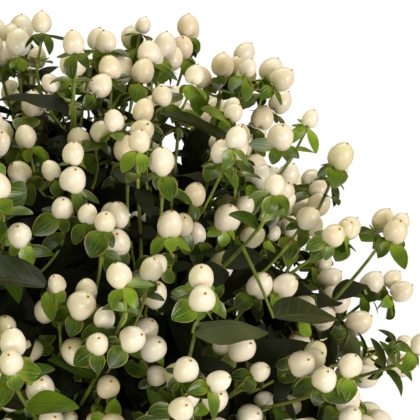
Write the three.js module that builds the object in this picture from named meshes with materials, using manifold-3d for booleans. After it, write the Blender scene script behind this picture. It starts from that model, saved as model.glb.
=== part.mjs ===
// A St John's wort in a plain clay pot: a low, rounded shrub whose green stems fan out of the compost
// and end in a dense dome of opposite leaves and cream, egg-shaped berries.
// Millimetres, +Z up. The origin is the middle of the pot's flat underside.

import * as THREE from "three";
import { mergeVertices } from "three/addons/utils/BufferGeometryUtils.js";
import Module from "manifold-3d";

const wasm = await Module();
wasm.setup();

// Driving dimensions

const GAP = 0.3; // between solids that touch on the real plant

const POT = {
  height: 128,
  footRadius: 49,
  bodyTopRadius: 66,
  rimRadius: 73,
  rimHeight: 27,
  wall: 6.5,
  floor: 9,
  lip: 1.6, // rounding of the rim's edges
  sides: 32,
};
const DRAIN = { count: 4, radius: 4.5, circle: 26, sides: 10 };
const COMPOST = { top: 115, sides: 24 };

// The crown is round above its widest level and squarer below it, where it hangs about the pot's rim.
const CROWN = {
  radius: 140,
  middle: 226,
  above: { height: 114, fullness: 2 },
  below: { height: 96, fullness: 3 },
};
const FAN = new THREE.Vector3(0, 0, 150); // the spaces of the masses are cones with this apex

// One ring of masses for each row: how many, their level on the crown, and where their stems stand.
const RINGS = [
  { name: "top", count: 1, level: 1, footCircle: 0 },
  { name: "upper", count: 5, level: 0.72, footCircle: 15 },
  { name: "middle", count: 8, level: 0.17, footCircle: 29 },
  { name: "skirt", count: 8, level: -0.5, footCircle: 43 },
];
const STEM = {
  flare: 4.4,
  flareHeight: 5,
  foot: 2.9,
  tip: 2.1,
  sides: 5,
  steps: 5,
  reach: 0.4, // share of the way from the fan's apex to the crown at which the stem ends
  lean: 0.55,
};
const LEADER = { start: 2.1, end: 1.6, reach: 0.74, sides: 4, steps: 2 };
const TWIG = {
  start: 1.8,
  end: 1.4,
  sides: 3,
  steps: 3,
  highest: 0.92, // place on the leader of the twig that stands most upright
  lowest: 0.12, // and of the one that spreads furthest
  bend: 0.6,
  sag: 0.09,
};

const SHOOTS = {
  count: 92,
  lowest: -0.9, // level of the lowest shoot
  fruiting: -0.62, // below this level the shoots carry leaves alone
  roughness: 0.06, // how far a shoot's tip stands in or out, as a share of its reach
  leafyReach: 0.88, // of a fruiting shoot's, so that its leaves end where berries would
  seed: 7,
};
const LEAF = {
  long: 54,
  short: 35,
  aspect: 0.48,
  thickness: 0.035,
  widest: 0.42,
  droop: 0.2,
  forward: 0.75, // how far it leans along its twig
};
// Where the pairs of leaves stand along a leader or twig: long ones deep in the crown, short ones
// under its tip.
const LEAF_ROWS = {
  leader: [
    { at: 0.15, length: LEAF.long },
    { at: 0.5, length: LEAF.long },
  ],
  fruiting: [
    { at: 0.42, length: LEAF.long },
    { at: 0.84, length: LEAF.short },
  ],
  leafy: [
    { at: 0.5, length: LEAF.long },
    { at: 0.95, length: LEAF.long * 0.85 },
  ],
};
// One berry on each shoot's tip, larger than life, stands for the cluster that grows there.
const BERRY = { length: 19, radius: 8.2, sides: 6, upturn: 0.75, sunk: 0.2 };
const CLEAR = { wall: 0.25, stem: 0.55, pot: 1.5 }; // what the foliage keeps free around it
const GOLDEN_TURN = Math.PI * (3 - Math.sqrt(5));
const UP = new THREE.Vector3(0, 0, 1);

const COLOURS = {
  clay: new THREE.MeshStandardMaterial({ color: 0xb4684a, roughness: 0.9, metalness: 0 }),
  compost: new THREE.MeshStandardMaterial({ color: 0x2e231a, roughness: 1, metalness: 0 }),
  stem: new THREE.MeshStandardMaterial({ color: 0x6c7828, roughness: 0.6, metalness: 0 }),
  foliage: new THREE.MeshStandardMaterial({ color: 0x4c6428, roughness: 0.5, metalness: 0 }),
};

// Small helpers

// A repeatable stream of numbers from 0 to 1.
function seeded(seed) {
  let state = seed >>> 0;
  return () => {
    state = (state + 0x6d2b79f5) >>> 0;
    let t = state;
    t = Math.imul(t ^ (t >>> 15), t | 1);
    t ^= t + Math.imul(t ^ (t >>> 7), t | 61);
    return ((t ^ (t >>> 14)) >>> 0) / 2 ** 32;
  };
}

function solidOf(geometry) {
  const bare = new THREE.BufferGeometry();
  const loose = geometry.index ? geometry.toNonIndexed() : geometry;
  bare.setAttribute("position", loose.getAttribute("position"));
  const merged = mergeVertices(bare, 1e-4);
  return new wasm.Manifold(
    new wasm.Mesh({
      numProp: 3,
      vertProperties: merged.attributes.position.array,
      triVerts: new Uint32Array(merged.index.array),
    }),
  );
}

function geometryOf(solid) {
  const mesh = solid.getMesh();
  const points = new Float32Array(mesh.numVert * 3);
  for (let i = 0; i < mesh.numVert; i++) {
    points.set(mesh.vertProperties.subarray(i * mesh.numProp, i * mesh.numProp + 3), i * 3);
  }
  return new THREE.BufferGeometry()
    .setAttribute("position", new THREE.BufferAttribute(points, 3))
    .setIndex(new THREE.BufferAttribute(mesh.triVerts, 1));
}

// Two directions square to the given one and to each other.
function acrossOf(direction) {
  const helper = Math.abs(direction.z) < 0.9 ? UP : new THREE.Vector3(1, 0, 0);
  const first = new THREE.Vector3().crossVectors(helper, direction).normalize();
  return [first, new THREE.Vector3().crossVectors(direction, first)];
}

// A closed tapering limb through points, with a radius at each. Its ends may be cut square to given
// directions, such as a foot that stands level.
function limbGeometry(points, radii, sides, firstCut = null, lastCut = null) {
  const last = points.length - 1;
  const positions = [];
  const faces = [];
  let side = null;
  points.forEach((point, row) => {
    const ahead = points[Math.min(row + 1, last)];
    const behind = points[Math.max(row - 1, 0)];
    const cut = row === 0 ? firstCut : row === last ? lastCut : null;
    const along = cut ? cut.clone() : ahead.clone().sub(behind).normalize();
    side = side ? side.addScaledVector(along, -side.dot(along)).normalize() : acrossOf(along)[0];
    const other = new THREE.Vector3().crossVectors(along, side);
    for (let i = 0; i < sides; i++) {
      const turn = (2 * Math.PI * i) / sides;
      const rim = point
        .clone()
        .addScaledVector(side, radii[row] * Math.cos(turn))
        .addScaledVector(other, radii[row] * Math.sin(turn));
      positions.push(rim.x, rim.y, rim.z);
    }
  });
  for (let row = 0; row < last; row++) {
    for (let i = 0; i < sides; i++) {
      const a = row * sides + i;
      const b = row * sides + ((i + 1) % sides);
      faces.push(a, b, b + sides, a, b + sides, a + sides);
    }
  }
  for (let i = 1; i < sides - 1; i++) {
    faces.push(0, i + 1, i);
    faces.push(last * sides, last * sides + i, last * sides + i + 1);
  }
  return new THREE.BufferGeometry()
    .setAttribute("position", new THREE.Float32BufferAttribute(positions, 3))
    .setIndex(faces);
}

function taperedLimb(curve, start, end, sides, steps) {
  const points = curve.getPoints(steps);
  const radii = points.map((_, i) => THREE.MathUtils.lerp(start, end, i / steps));
  return limbGeometry(points, radii, sides);
}

// Pot and compost

function potProfile() {
  const { height, footRadius, bodyTopRadius, rimRadius, rimHeight, wall, floor, lip } = POT;
  const band = height - rimHeight;
  return [
    [0, 0],
    [footRadius - lip, 0],
    [footRadius, lip],
    [bodyTopRadius, band],
    [rimRadius - lip, band],
    [rimRadius, band + lip],
    [rimRadius, height - lip],
    [rimRadius - lip, height],
    [innerRadius(height) + lip, height],
    [innerRadius(height), height - lip],
    [innerRadius(floor), floor],
    [0, floor],
  ].map(([r, z]) => new THREE.Vector2(r, z));
}

// The inner wall keeps to the body's slope, from the floor to the lip.
function innerRadius(z) {
  const slope = (POT.bodyTopRadius - POT.footRadius) / (POT.height - POT.rimHeight);
  return POT.footRadius + slope * z - POT.wall;
}

// A lathe turns about +Y, so it is stood up to turn about +Z.
function turned(profile, sides) {
  return new THREE.LatheGeometry(profile, sides).rotateX(Math.PI / 2);
}

function makePot() {
  let pot = solidOf(turned(potProfile(), POT.sides));
  for (let i = 0; i < DRAIN.count; i++) {
    const turn = (2 * Math.PI * (i + 0.5)) / DRAIN.count;
    const hole = new THREE.CylinderGeometry(DRAIN.radius, DRAIN.radius, 3 * POT.floor, DRAIN.sides)
      .rotateX(Math.PI / 2)
      .translate(DRAIN.circle * Math.cos(turn), DRAIN.circle * Math.sin(turn), 0);
    pot = pot.subtract(solidOf(hole));
  }
  return pot;
}

function makeCompost() {
  const low = POT.floor + GAP;
  const wallAt = (z) => innerRadius(z) * Math.cos(Math.PI / POT.sides) - GAP;
  const profile = [
    [0, low],
    [wallAt(low), low],
    [wallAt(COMPOST.top), COMPOST.top],
    [0, COMPOST.top],
  ].map(([r, z]) => new THREE.Vector2(r, z));
  return solidOf(turned(profile, COMPOST.sides));
}

// Where the masses are

// A point of the crown's outside, at a level from -1 at its foot to 1 at its top.
function crownPoint(level, turn, share = 1) {
  const half = level > 0 ? CROWN.above : CROWN.below;
  const width = (1 - Math.abs(level) ** half.fullness) ** (1 / half.fullness);
  const radius = CROWN.radius * width * share;
  const rise = half.height * level * share;
  return new THREE.Vector3(radius * Math.cos(turn), radius * Math.sin(turn), CROWN.middle + rise);
}

function crownNormal(point) {
  const half = point.z > CROWN.middle ? CROWN.above : CROWN.below;
  return new THREE.Vector3(
    point.x / CROWN.radius ** 2,
    point.y / CROWN.radius ** 2,
    (point.z - CROWN.middle) / half.height ** 2,
  ).normalize();
}

function massPlaces() {
  const places = [];
  RINGS.forEach((ring, row) => {
    for (let i = 0; i < ring.count; i++) {
      const turn = (2 * Math.PI * (i + (row % 2) / 2)) / ring.count;
      const middle = crownPoint(ring.level, turn);
      const name = ring.count > 1 ? `${ring.name}_${i + 1}` : ring.name;
      const axis = middle.clone().sub(FAN);
      places.push({
        name,
        direction: axis.clone().normalize(),
        stemTip: FAN.clone().addScaledVector(axis, STEM.reach),
        leaderTip: FAN.clone().addScaledVector(axis, LEADER.reach),
        foot: new THREE.Vector3(
          ring.footCircle * Math.cos(turn),
          ring.footCircle * Math.sin(turn),
          COMPOST.top + GAP,
        ),
        shoots: [],
      });
    }
  });
  return places;
}

function nearestMass(places, point) {
  const towards = point.clone().sub(FAN).normalize();
  return places.reduce((best, place) =>
    place.direction.dot(towards) > best.direction.dot(towards) ? place : best,
  );
}

// A point keeps to a mass's space if it is clear of the planes halfway to all the other masses.
function keepsTo(place, places, point) {
  const from = point.clone().sub(FAN);
  return places.every((other) => {
    if (other === place) return true;
    const wall = place.direction.clone().sub(other.direction).normalize();
    return from.dot(wall) > CLEAR.wall;
  });
}

// Shoots are dealt evenly over the crown by the golden angle, each to the mass it falls in.
function dealShoots(places) {
  const draw = seeded(SHOOTS.seed);
  for (let k = 0; k < SHOOTS.count; k++) {
    const level = 1 - ((1 - SHOOTS.lowest) * (k + 0.5)) / SHOOTS.count;
    const fruiting = level > SHOOTS.fruiting;
    const reach = fruiting ? 1 : SHOOTS.leafyReach;
    const share = reach * (1 + SHOOTS.roughness * (2 * draw() - 1));
    const tip = crownPoint(level, k * GOLDEN_TURN, share);
    nearestMass(places, tip).shoots.push({ tip, fruiting, roll: draw() });
  }
}

// Stems

// A stem rises straight out of the compost and leans out towards its mass.
function stemCurve(place) {
  const { foot, stemTip, direction } = place;
  const length = foot.distanceTo(stemTip);
  return new THREE.CubicBezierCurve3(
    foot,
    foot.clone().addScaledVector(UP, length * STEM.lean),
    stemTip.clone().addScaledVector(direction, -length * STEM.lean * 0.5),
    stemTip,
  );
}

function makeStem(place, extra = 0) {
  const curve = stemCurve(place);
  const points = [place.foot];
  const radii = [STEM.flare + extra];
  const start = STEM.flareHeight / curve.getLength();
  for (let i = 0; i < STEM.steps; i++) {
    const t = THREE.MathUtils.lerp(start, 1, i / (STEM.steps - 1));
    points.push(curve.getPointAt(t));
    radii.push(THREE.MathUtils.lerp(STEM.foot, STEM.tip, t) + extra);
  }
  return solidOf(limbGeometry(points, radii, STEM.sides, UP, place.direction));
}

// Leaves and berries

// Eight faces: root, tip, two edges and a ridge above and below, with the tip hanging.
function leafGeometry(root, along, face, length) {
  const width = length * LEAF.aspect;
  const leaf = new THREE.OctahedronGeometry(1, 0);
  const spots = leaf.getAttribute("position");
  const across = new THREE.Vector3().crossVectors(face, along).normalize();
  const up = new THREE.Vector3().crossVectors(along, across).normalize();
  for (let i = 0; i < spots.count; i++) {
    const x = spots.getX(i);
    const share = x < -0.5 ? 0 : x > 0.5 ? 1 : LEAF.widest;
    const hang = -LEAF.droop * length * share * share;
    const spot = root
      .clone()
      .addScaledVector(along, share * length)
      .addScaledVector(across, (spots.getY(i) * width) / 2)
      .addScaledVector(up, (spots.getZ(i) * LEAF.thickness * length) / 2)
      .addScaledVector(UP, hang);
    spots.setXYZ(i, spot.x, spot.y, spot.z);
  }
  return leaf;
}

// An egg, widest below its middle and blunt at its tip.
function berryGeometry(base, axis) {
  const profile = [
    [0, 0],
    [0.8, 0.16],
    [1, 0.44],
    [0.62, 0.82],
    [0, 1],
  ].map(([r, z]) => new THREE.Vector2(r * BERRY.radius, z * BERRY.length));
  const egg = turned(profile, BERRY.sides);
  const stand = new THREE.Quaternion().setFromUnitVectors(UP, axis);
  return egg.applyQuaternion(stand).translate(base.x, base.y, base.z);
}

function cornersOf(geometry) {
  const spots = geometry.getAttribute("position");
  return Array.from({ length: spots.count }, (_, i) =>
    new THREE.Vector3().fromBufferAttribute(spots, i),
  );
}

// One mass: a leader that grows on from its stem, a twig to each shoot's tip, pairs of leaves on the
// twigs and a berry on the tip. What would leave the space or touch a stem or the pot is skipped.
function makeMass(place, places, obstacles) {
  const fits = (geometry) =>
    cornersOf(geometry).every((corner) => keepsTo(place, places, corner)) &&
    solidOf(geometry).intersect(obstacles).isEmpty();
  const start = place.stemTip.clone().addScaledVector(place.direction, GAP);
  const leader = new THREE.LineCurve3(start, place.leaderTip);
  const pieces = [taperedLimb(leader, LEADER.start, LEADER.end, LEADER.sides, LEADER.steps)];
  const addLeaves = (curve, rows, roll) => {
    leafPlaces(curve, rows, roll).forEach(({ root, along, face, length }) => {
      const leaf = leafGeometry(root, along, face, length);
      if (fits(leaf)) pieces.push(leaf);
    });
  };
  addLeaves(leader, LEAF_ROWS.leader, 0);
  const widest = Math.max(...place.shoots.map((shoot) => offAxis(place, shoot.tip)), 0.1);

  place.shoots.forEach((shoot) => {
    const out = offAxis(place, shoot.tip) / widest;
    const root = leader.getPoint(THREE.MathUtils.lerp(TWIG.highest, TWIG.lowest, out));
    const curve = twigCurve(place, places, root, shoot);
    const twig = taperedLimb(curve, TWIG.start, TWIG.end, TWIG.sides, TWIG.steps);
    pieces.push(twig);
    addLeaves(curve, shoot.fruiting ? LEAF_ROWS.fruiting : LEAF_ROWS.leafy, shoot.roll);
    if (!shoot.fruiting) return;
    const berry = berryGeometry(shoot.berryBase, shoot.berryAxis);
    if (fits(berry)) pieces.push(berry);
  });

  const joined = wasm.Manifold.union(pieces.map(solidOf));
  return joined.decompose().reduce((a, b) => (b.volume() > a.volume() ? b : a));
}

function offAxis(place, point) {
  return point.clone().sub(FAN).angleTo(place.direction);
}

// A twig leaves its leader low and turns up to its tip, as far as its space lets it.
function twigCurve(place, places, root, shoot) {
  shoot.berryAxis = crownNormal(shoot.tip).addScaledVector(UP, BERRY.upturn).normalize();
  shoot.berryBase = shoot.tip.clone().addScaledVector(shoot.berryAxis, -BERRY.length / 2);
  const sunk = shoot.fruiting ? BERRY.length * BERRY.sunk : 0;
  const end = shoot.berryBase.clone().addScaledVector(shoot.berryAxis, sunk);
  const length = root.distanceTo(end);
  const bend = root.clone().lerp(end, TWIG.bend);
  const low = bend.clone().addScaledVector(UP, -TWIG.sag * length);
  return new THREE.QuadraticBezierCurve3(root, keepsTo(place, places, low) ? low : bend, end);
}

// Each row is a pair of leaves, turned a quarter from the pair below it.
function leafPlaces(curve, rows, roll) {
  return rows.flatMap(({ at, length }, row) => {
    const root = curve.getPoint(at);
    const forward = curve.getTangent(at);
    const [first, second] = acrossOf(forward);
    return [0, 1].map((sideOf) => {
      const turn = Math.PI * (roll + row / 2 + sideOf);
      const across = first
        .clone()
        .multiplyScalar(Math.cos(turn))
        .addScaledVector(second, Math.sin(turn));
      const along = across.addScaledVector(forward, LEAF.forward).normalize();
      return { root, along, face: forward, length };
    });
  });
}

// What the foliage keeps clear of: all the stems, a little fattened, and the pot with its contents.
function makeObstacles(places) {
  const rim = POT.rimRadius + CLEAR.pot;
  const top = POT.height + CLEAR.pot;
  const profile = [
    [0, 0],
    [rim, 0],
    [rim, top],
    [0, top],
  ].map(([r, z]) => new THREE.Vector2(r, z));
  return wasm.Manifold.union([
    solidOf(turned(profile, POT.sides)),
    ...places.map((place) => makeStem(place, CLEAR.stem)),
  ]);
}

// The whole plant

const plant = new THREE.Group();

function addPiece(name, solid, material) {
  const mesh = new THREE.Mesh(geometryOf(solid), material);
  mesh.name = name;
  plant.add(mesh);
}

const places = massPlaces();
dealShoots(places);
const obstacles = makeObstacles(places);

addPiece("pot", makePot(), COLOURS.clay);
addPiece("compost", makeCompost(), COLOURS.compost);
places.forEach((place) => {
  addPiece(`stem_${place.name}`, makeStem(place), COLOURS.stem);
  addPiece(`foliage_${place.name}`, makeMass(place, places, obstacles), COLOURS.foliage);
});

export default plant;
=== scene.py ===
# %% [markdown]
# # A potted St John's wort in fruit
#
# The plant is a low evergreen shrub. Some twenty green stems rise out of one clay pot and lean apart,
# and their twigs end in a dense dome of opposite leaves and waxy, cream berries. The solids hold the
# plant's true size with few leaves and one large berry for each shoot. This script keeps their rule
# and carries it on to every twig, leaf, sepal and berry. It works with arrays of numbers, because
# thousands of leaves and berries made one by one with operators would take minutes.

# %% Load the solids as a fixed frame
import math

import bpy
import numpy as np
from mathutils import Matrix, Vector
from mathutils.kdtree import KDTree


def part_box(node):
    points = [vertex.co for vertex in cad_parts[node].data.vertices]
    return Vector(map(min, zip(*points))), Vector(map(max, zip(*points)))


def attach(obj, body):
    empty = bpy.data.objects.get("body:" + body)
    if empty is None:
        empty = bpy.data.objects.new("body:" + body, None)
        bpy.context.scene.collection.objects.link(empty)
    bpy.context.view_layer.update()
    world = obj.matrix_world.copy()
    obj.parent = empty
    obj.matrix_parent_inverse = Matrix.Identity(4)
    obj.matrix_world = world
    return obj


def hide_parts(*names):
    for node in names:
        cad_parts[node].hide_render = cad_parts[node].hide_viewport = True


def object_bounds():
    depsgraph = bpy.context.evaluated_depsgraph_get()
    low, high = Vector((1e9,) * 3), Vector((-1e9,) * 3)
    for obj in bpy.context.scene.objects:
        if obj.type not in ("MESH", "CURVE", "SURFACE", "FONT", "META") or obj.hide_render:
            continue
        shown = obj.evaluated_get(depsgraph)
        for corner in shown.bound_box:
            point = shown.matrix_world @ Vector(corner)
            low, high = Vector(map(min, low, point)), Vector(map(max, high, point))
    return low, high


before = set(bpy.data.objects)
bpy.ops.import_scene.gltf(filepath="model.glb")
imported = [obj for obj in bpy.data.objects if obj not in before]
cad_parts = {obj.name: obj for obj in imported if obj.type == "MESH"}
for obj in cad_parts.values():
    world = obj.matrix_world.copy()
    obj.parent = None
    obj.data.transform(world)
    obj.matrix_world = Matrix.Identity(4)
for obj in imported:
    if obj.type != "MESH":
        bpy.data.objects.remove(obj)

MM = 0.001
UP = np.array([0.0, 0.0, 1.0])
ACROSS = np.array([1.0, 0.0, 0.0])
cad_low, cad_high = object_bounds()
print("solids:", len(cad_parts), "nodes, highest point, mm:", round(cad_high[2] / MM, 1))

# %% [markdown]
# ## Directions and curves
#
# A plant is made of directions: the way a twig heads, the way a leaf faces. These few helpers treat
# a whole array of vectors at once, one row for each. A twig is a quadratic Bezier curve, which is
# three points: where it starts, what it leans towards and where it ends.

# %% Vector helpers
def unit(vectors):
    return vectors / np.linalg.norm(vectors, axis=-1, keepdims=True)


def mix(first, second, share):
    return first + (second - first) * share


def square_to(axis, turn):
    """Directions square to each axis, turned about it by an angle in radians."""
    helper = np.where(np.abs(axis[:, 2:]) < 0.9, UP, ACROSS)
    first = unit(np.cross(helper, axis))
    second = np.cross(axis, first)
    turn = np.broadcast_to(turn, len(axis))[:, None]
    return first * np.cos(turn) + second * np.sin(turn)


# %% Curves
def column(values, count):
    return np.broadcast_to(values, count)[:, None]


def point_on(curve, place):
    """Points of curves at a share of their length; curve is (starts, middles, ends)."""
    start, middle, end = curve
    t = column(place, len(start))
    return start * (1 - t) ** 2 + middle * 2 * t * (1 - t) + end * t**2


def heading_on(curve, place):
    start, middle, end = curve
    t = column(place, len(start))
    return unit((middle - start) * (1 - t) + (end - middle) * t)


def some(curve, chosen):
    return tuple(part[chosen] for part in curve)


def lines_of(curve, steps):
    """The curves as lines of points, (curves, steps + 1, 3)."""
    return np.stack([point_on(curve, i / steps) for i in range(steps + 1)], axis=1)


# %% [markdown]
# ## The rule of the crown
#
# The solids deal shoots over a rounded crown by the golden angle and give each one to the mass it
# falls in. The same numbers in the same order give the same shoots here, so the fine twigs grow
# where the coarse ones are. The random numbers come from a small generator written out in full,
# because Python's own would draw other values than the source of the solids does.

# %% The crown's driving sizes
CROWN_RADIUS = 140 * MM
CROWN_MIDDLE = 226 * MM
ABOVE_HEIGHT = 114 * MM
BELOW_HEIGHT = 96 * MM
ABOVE_FULLNESS = 2
BELOW_FULLNESS = 3
FAN = np.array([0, 0, 150 * MM])
POT_HEIGHT = 128 * MM
RIM_RADIUS = 73 * MM
COMPOST_TOP = 115 * MM
RINGS = [  # name, masses in it, level on the crown, circle on which their stems stand
    ("top", 1, 1.0, 0.0),
    ("upper", 5, 0.72, 15 * MM),
    ("middle", 8, 0.17, 29 * MM),
    ("skirt", 8, -0.5, 43 * MM),
]
SHOOT_COUNT = 92
LOWEST_LEVEL = -0.9
FRUITING_LEVEL = -0.62
ROUGHNESS = 0.06
LEAFY_REACH = 0.88
SHOOT_SEED = 7
GOLDEN_TURN = math.pi * (3 - math.sqrt(5))


# %% Points of the crown
def half_of(rise):
    """Height and fullness of the half of the crown that a rise above its middle lies in."""
    above = rise > 0
    return np.where(above, ABOVE_HEIGHT, BELOW_HEIGHT), np.where(above, ABOVE_FULLNESS, BELOW_FULLNESS)


def crown_point(level, turn, share):
    height, fullness = half_of(level)
    width = (1 - np.abs(level) ** fullness) ** (1 / fullness)
    radius = CROWN_RADIUS * width * share
    rise = height * level * share
    return np.stack([radius * np.cos(turn), radius * np.sin(turn), CROWN_MIDDLE + rise], axis=-1)


def crown_normal(points):
    rise = points[:, 2] - CROWN_MIDDLE
    height, _ = half_of(rise)
    flat = points[:, :2] / CROWN_RADIUS**2
    return unit(np.column_stack([flat, rise / height**2]))


def crown_share(points):
    """How far out points lie, 1 on the crown's outside."""
    rise = points[:, 2] - CROWN_MIDDLE
    height, fullness = half_of(rise)
    flat = np.hypot(points[:, 0], points[:, 1]) / CROWN_RADIUS
    return (flat**fullness + (np.abs(rise) / height) ** fullness) ** (1 / fullness)


# %% The masses
STEM_REACH = 0.4
LEADER_REACH = 0.74
mass_names = []
mass_rings = []
mass_axes = []
mass_feet = []
for row, (ring, count, level, foot_circle) in enumerate(RINGS):
    for i in range(count):
        turn = 2 * math.pi * (i + (row % 2) / 2) / count
        mass_names.append(f"{ring}_{i + 1}" if count > 1 else ring)
        mass_rings.append(ring)
        mass_axes.append(crown_point(level, turn, 1.0) - FAN)
        mass_feet.append([foot_circle * math.cos(turn), foot_circle * math.sin(turn), COMPOST_TOP])
mass_rings = np.array(mass_rings)
mass_axes = np.array(mass_axes)
mass_feet = np.array(mass_feet)
mass_ways = unit(mass_axes)
stem_tips = FAN + mass_axes * STEM_REACH
leader_tips = FAN + mass_axes * LEADER_REACH
tops = [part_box(f"stem_{name}")[1][2] for name in mass_names]
off_tops = np.abs(stem_tips[:, 2] - tops).max()
print("masses:", len(mass_names), "furthest stem tip from its solid, mm:", round(float(off_tops) / MM, 2))


# %% The shoots
def seeded(seed):
    """The same stream of numbers from 0 to 1 as in the source of the solids."""
    bits = 0xFFFFFFFF
    state = seed & bits

    def draw():
        nonlocal state
        state = (state + 0x6D2B79F5) & bits
        t = state
        t = ((t ^ (t >> 15)) * (t | 1)) & bits
        t ^= (t + (((t ^ (t >> 7)) * (t | 61)) & bits)) & bits
        return ((t ^ (t >> 14)) & bits) / 2**32

    return draw


draw = seeded(SHOOT_SEED)
drawn = np.array([[draw(), draw()] for _ in range(SHOOT_COUNT)])
shoot_levels = 1 - (1 - LOWEST_LEVEL) * (np.arange(SHOOT_COUNT) + 0.5) / SHOOT_COUNT
fruiting = shoot_levels > FRUITING_LEVEL
shoot_shares = np.where(fruiting, 1, LEAFY_REACH) * (1 + ROUGHNESS * (2 * drawn[:, 0] - 1))
shoot_tips = crown_point(shoot_levels, np.arange(SHOOT_COUNT) * GOLDEN_TURN, shoot_shares)
shoot_rolls = drawn[:, 1]
shoot_masses = np.argmax(unit(shoot_tips - FAN) @ mass_ways.T, axis=1)
print("shoots:", SHOOT_COUNT, "of which in fruit:", int(fruiting.sum()))

# %% [markdown]
# ## From shoots to sprays
#
# On the real shrub a twig carries pairs of opposite leaves, and new twigs grow from the angles of
# the upper pairs. So each shoot that bears fruit ends in five sprays: one on its own tip and four
# on side twigs, each pair turned a quarter from the other. The tips are then nudged apart, because
# growing shoots share the light, and a purely random crown would have bald spots and knots.
#
# Nor is the crown even. It swells in some places and thins in others, dark clefts run into it, and
# one long leaf lies in some of them. At the front these are where the photograph shows them, and
# the other sides get as many at random. Side sprays that would end deep in the shade don't grow.

# %% Twigs that follow the solids'
TWIG_SAG = 0.09
TWIG_BEND = 0.6
TWIG_HIGHEST = 0.92
TWIG_LOWEST = 0.12
UPTURN = 0.75
STALK = 15 * MM  # from the fork under a spray's first berry to the middle of that berry
rng = np.random.default_rng(11)

off_axis = np.arccos(np.clip(np.sum(unit(shoot_tips - FAN) * mass_ways[shoot_masses], axis=1), -1, 1))
widest = np.array([max(off_axis[shoot_masses == m].max(initial=0), 0.1) for m in range(len(mass_names))])
leader_starts = stem_tips[shoot_masses]
root_places = mix(TWIG_HIGHEST, TWIG_LOWEST, off_axis / widest[shoot_masses])
twig_roots = mix(leader_starts, leader_tips[shoot_masses], root_places[:, None])
shoot_ways = unit(crown_normal(shoot_tips) + UPTURN * UP)
twig_ends = shoot_tips - shoot_ways * np.where(fruiting, STALK, 0)[:, None]
twig_lengths = np.linalg.norm(twig_ends - twig_roots, axis=1)
print("twigs:", len(twig_roots), "mean length, mm:", round(float(twig_lengths.mean()) / MM, 1))


def twig_middle(roots, ends):
    lengths = np.linalg.norm(ends - roots, axis=1)[:, None]
    return mix(roots, ends, TWIG_BEND) - UP * TWIG_SAG * lengths


# %% Side twigs
SIDE_NODES = (0.38, 0.64)  # the furthest places on a twig where its pairs of side twigs leave it
FORK_RISE = 0.16  # how much further out in the crown their forks are than those places, at least
SIDE_SPREAD = (15 * MM, 24 * MM)
OUTER_SHARE = (0.62, 0.88)  # the layer of the crown that the side sprays fill, halfway up
TOP_GAIN = 0.15  # how much further out that layer lies at the crown's top
SHADED_SHARE = 0.67  # no side spray grows further in than this
bearing = np.flatnonzero(fruiting)
spray_tips = [shoot_tips[bearing]]
spray_homes = [bearing]
spray_nodes = [np.ones(len(bearing))]
for pair, node in enumerate(SIDE_NODES):
    for hand in (0, 1):
        turn = math.pi * (shoot_rolls[bearing] + pair / 2 + hand)
        sideways = square_to(crown_normal(shoot_tips[bearing]), turn)
        reach = rng.uniform(*SIDE_SPREAD, len(bearing))[:, None]
        spray_tips.append(shoot_tips[bearing] + sideways * reach)
        spray_homes.append(bearing)
        spray_nodes.append(np.full(len(bearing), node))
spray_tips = np.concatenate(spray_tips)
spray_homes = np.concatenate(spray_homes)
spray_nodes = np.concatenate(spray_nodes)


# %% Nudge things apart
EASE = 0.35  # the share of what two points lack that one round makes good for each


def nudge_apart(points, room, rounds, hold):
    """Moves points that are closer than room apart, a little each round; hold puts them back in place."""
    for _ in range(rounds):
        gaps = points[:, None] - points[None]
        far = np.linalg.norm(gaps, axis=-1)
        np.fill_diagonal(far, 1)
        push = np.clip(room - far, 0, None) / far * EASE
        np.fill_diagonal(push, 0)
        points = hold(points + (gaps * push[..., None]).sum(axis=1))
    return points


# %% Hollows, some with a long leaf in them
LONG_LEAVES = [  # turn and level of foot and of tip of each that the photograph shows, and room in mm
    (-1.1, 0.27, -0.83, 0.29, 15),
    (-0.8, 0.26, -0.54, 0.19, 15),
    (-1.54, 0.45, -1.9, 0.5, 15),
    (-1.4, 0.92, -2.0, 0.95, 13),
    (-0.5, 0.77, -0.72, 0.87, 13),
]
CLEFTS = [  # the same for dark clefts without such a leaf
    (-0.97, 0.54, -0.99, 0.37, 14),
    (-1.0, 0.26, -0.95, 0.1, 15),
    (-0.86, 0.42, -0.78, 0.34, 10),
    (-1.6, 0.55, -1.35, 0.54, 10),
    (-1.54, 0.29, -1.54, 0.16, 10),
    (-1.27, 0.82, -1.32, 0.74, 10),
    (-1.71, 0.76, -1.64, 0.76, 10),
    (-1.57, 0.9, -1.36, 0.89, 8),
    (-1.11, 0.68, -1.16, 0.58, 10),
    (-1.51, 0.61, -1.42, 0.6, 10),
    (-0.66, 0.86, -0.96, 0.7, 12),
    (-0.3, 0.2, 0.36, 0.18, 16),
]
HOLLOW_SHARE = 0.88  # how far out in the crown the hollows begin, and the long leaves lie in them
TIP_FURTHER = 0.03  # how much further out those leaves' tips are
LEAF_HOLLOW_START = 0.35  # where on a long leaf its hollow begins, as its foot needs a twig near it


def unseen_lines(count, room):
    """Lines like those of the photograph on the sides that it doesn't show."""
    turns = rng.uniform(0.4, 4.0, count)
    levels = rng.uniform(-0.4, 0.8, count)
    other_turns = turns + rng.uniform(0.15, 0.3, count) * rng.choice([1, -1], count)
    other_levels = levels + rng.uniform(-0.2, 0.1, count)
    return np.stack([turns, levels, other_turns, other_levels, np.full(count, room)], axis=1)


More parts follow.
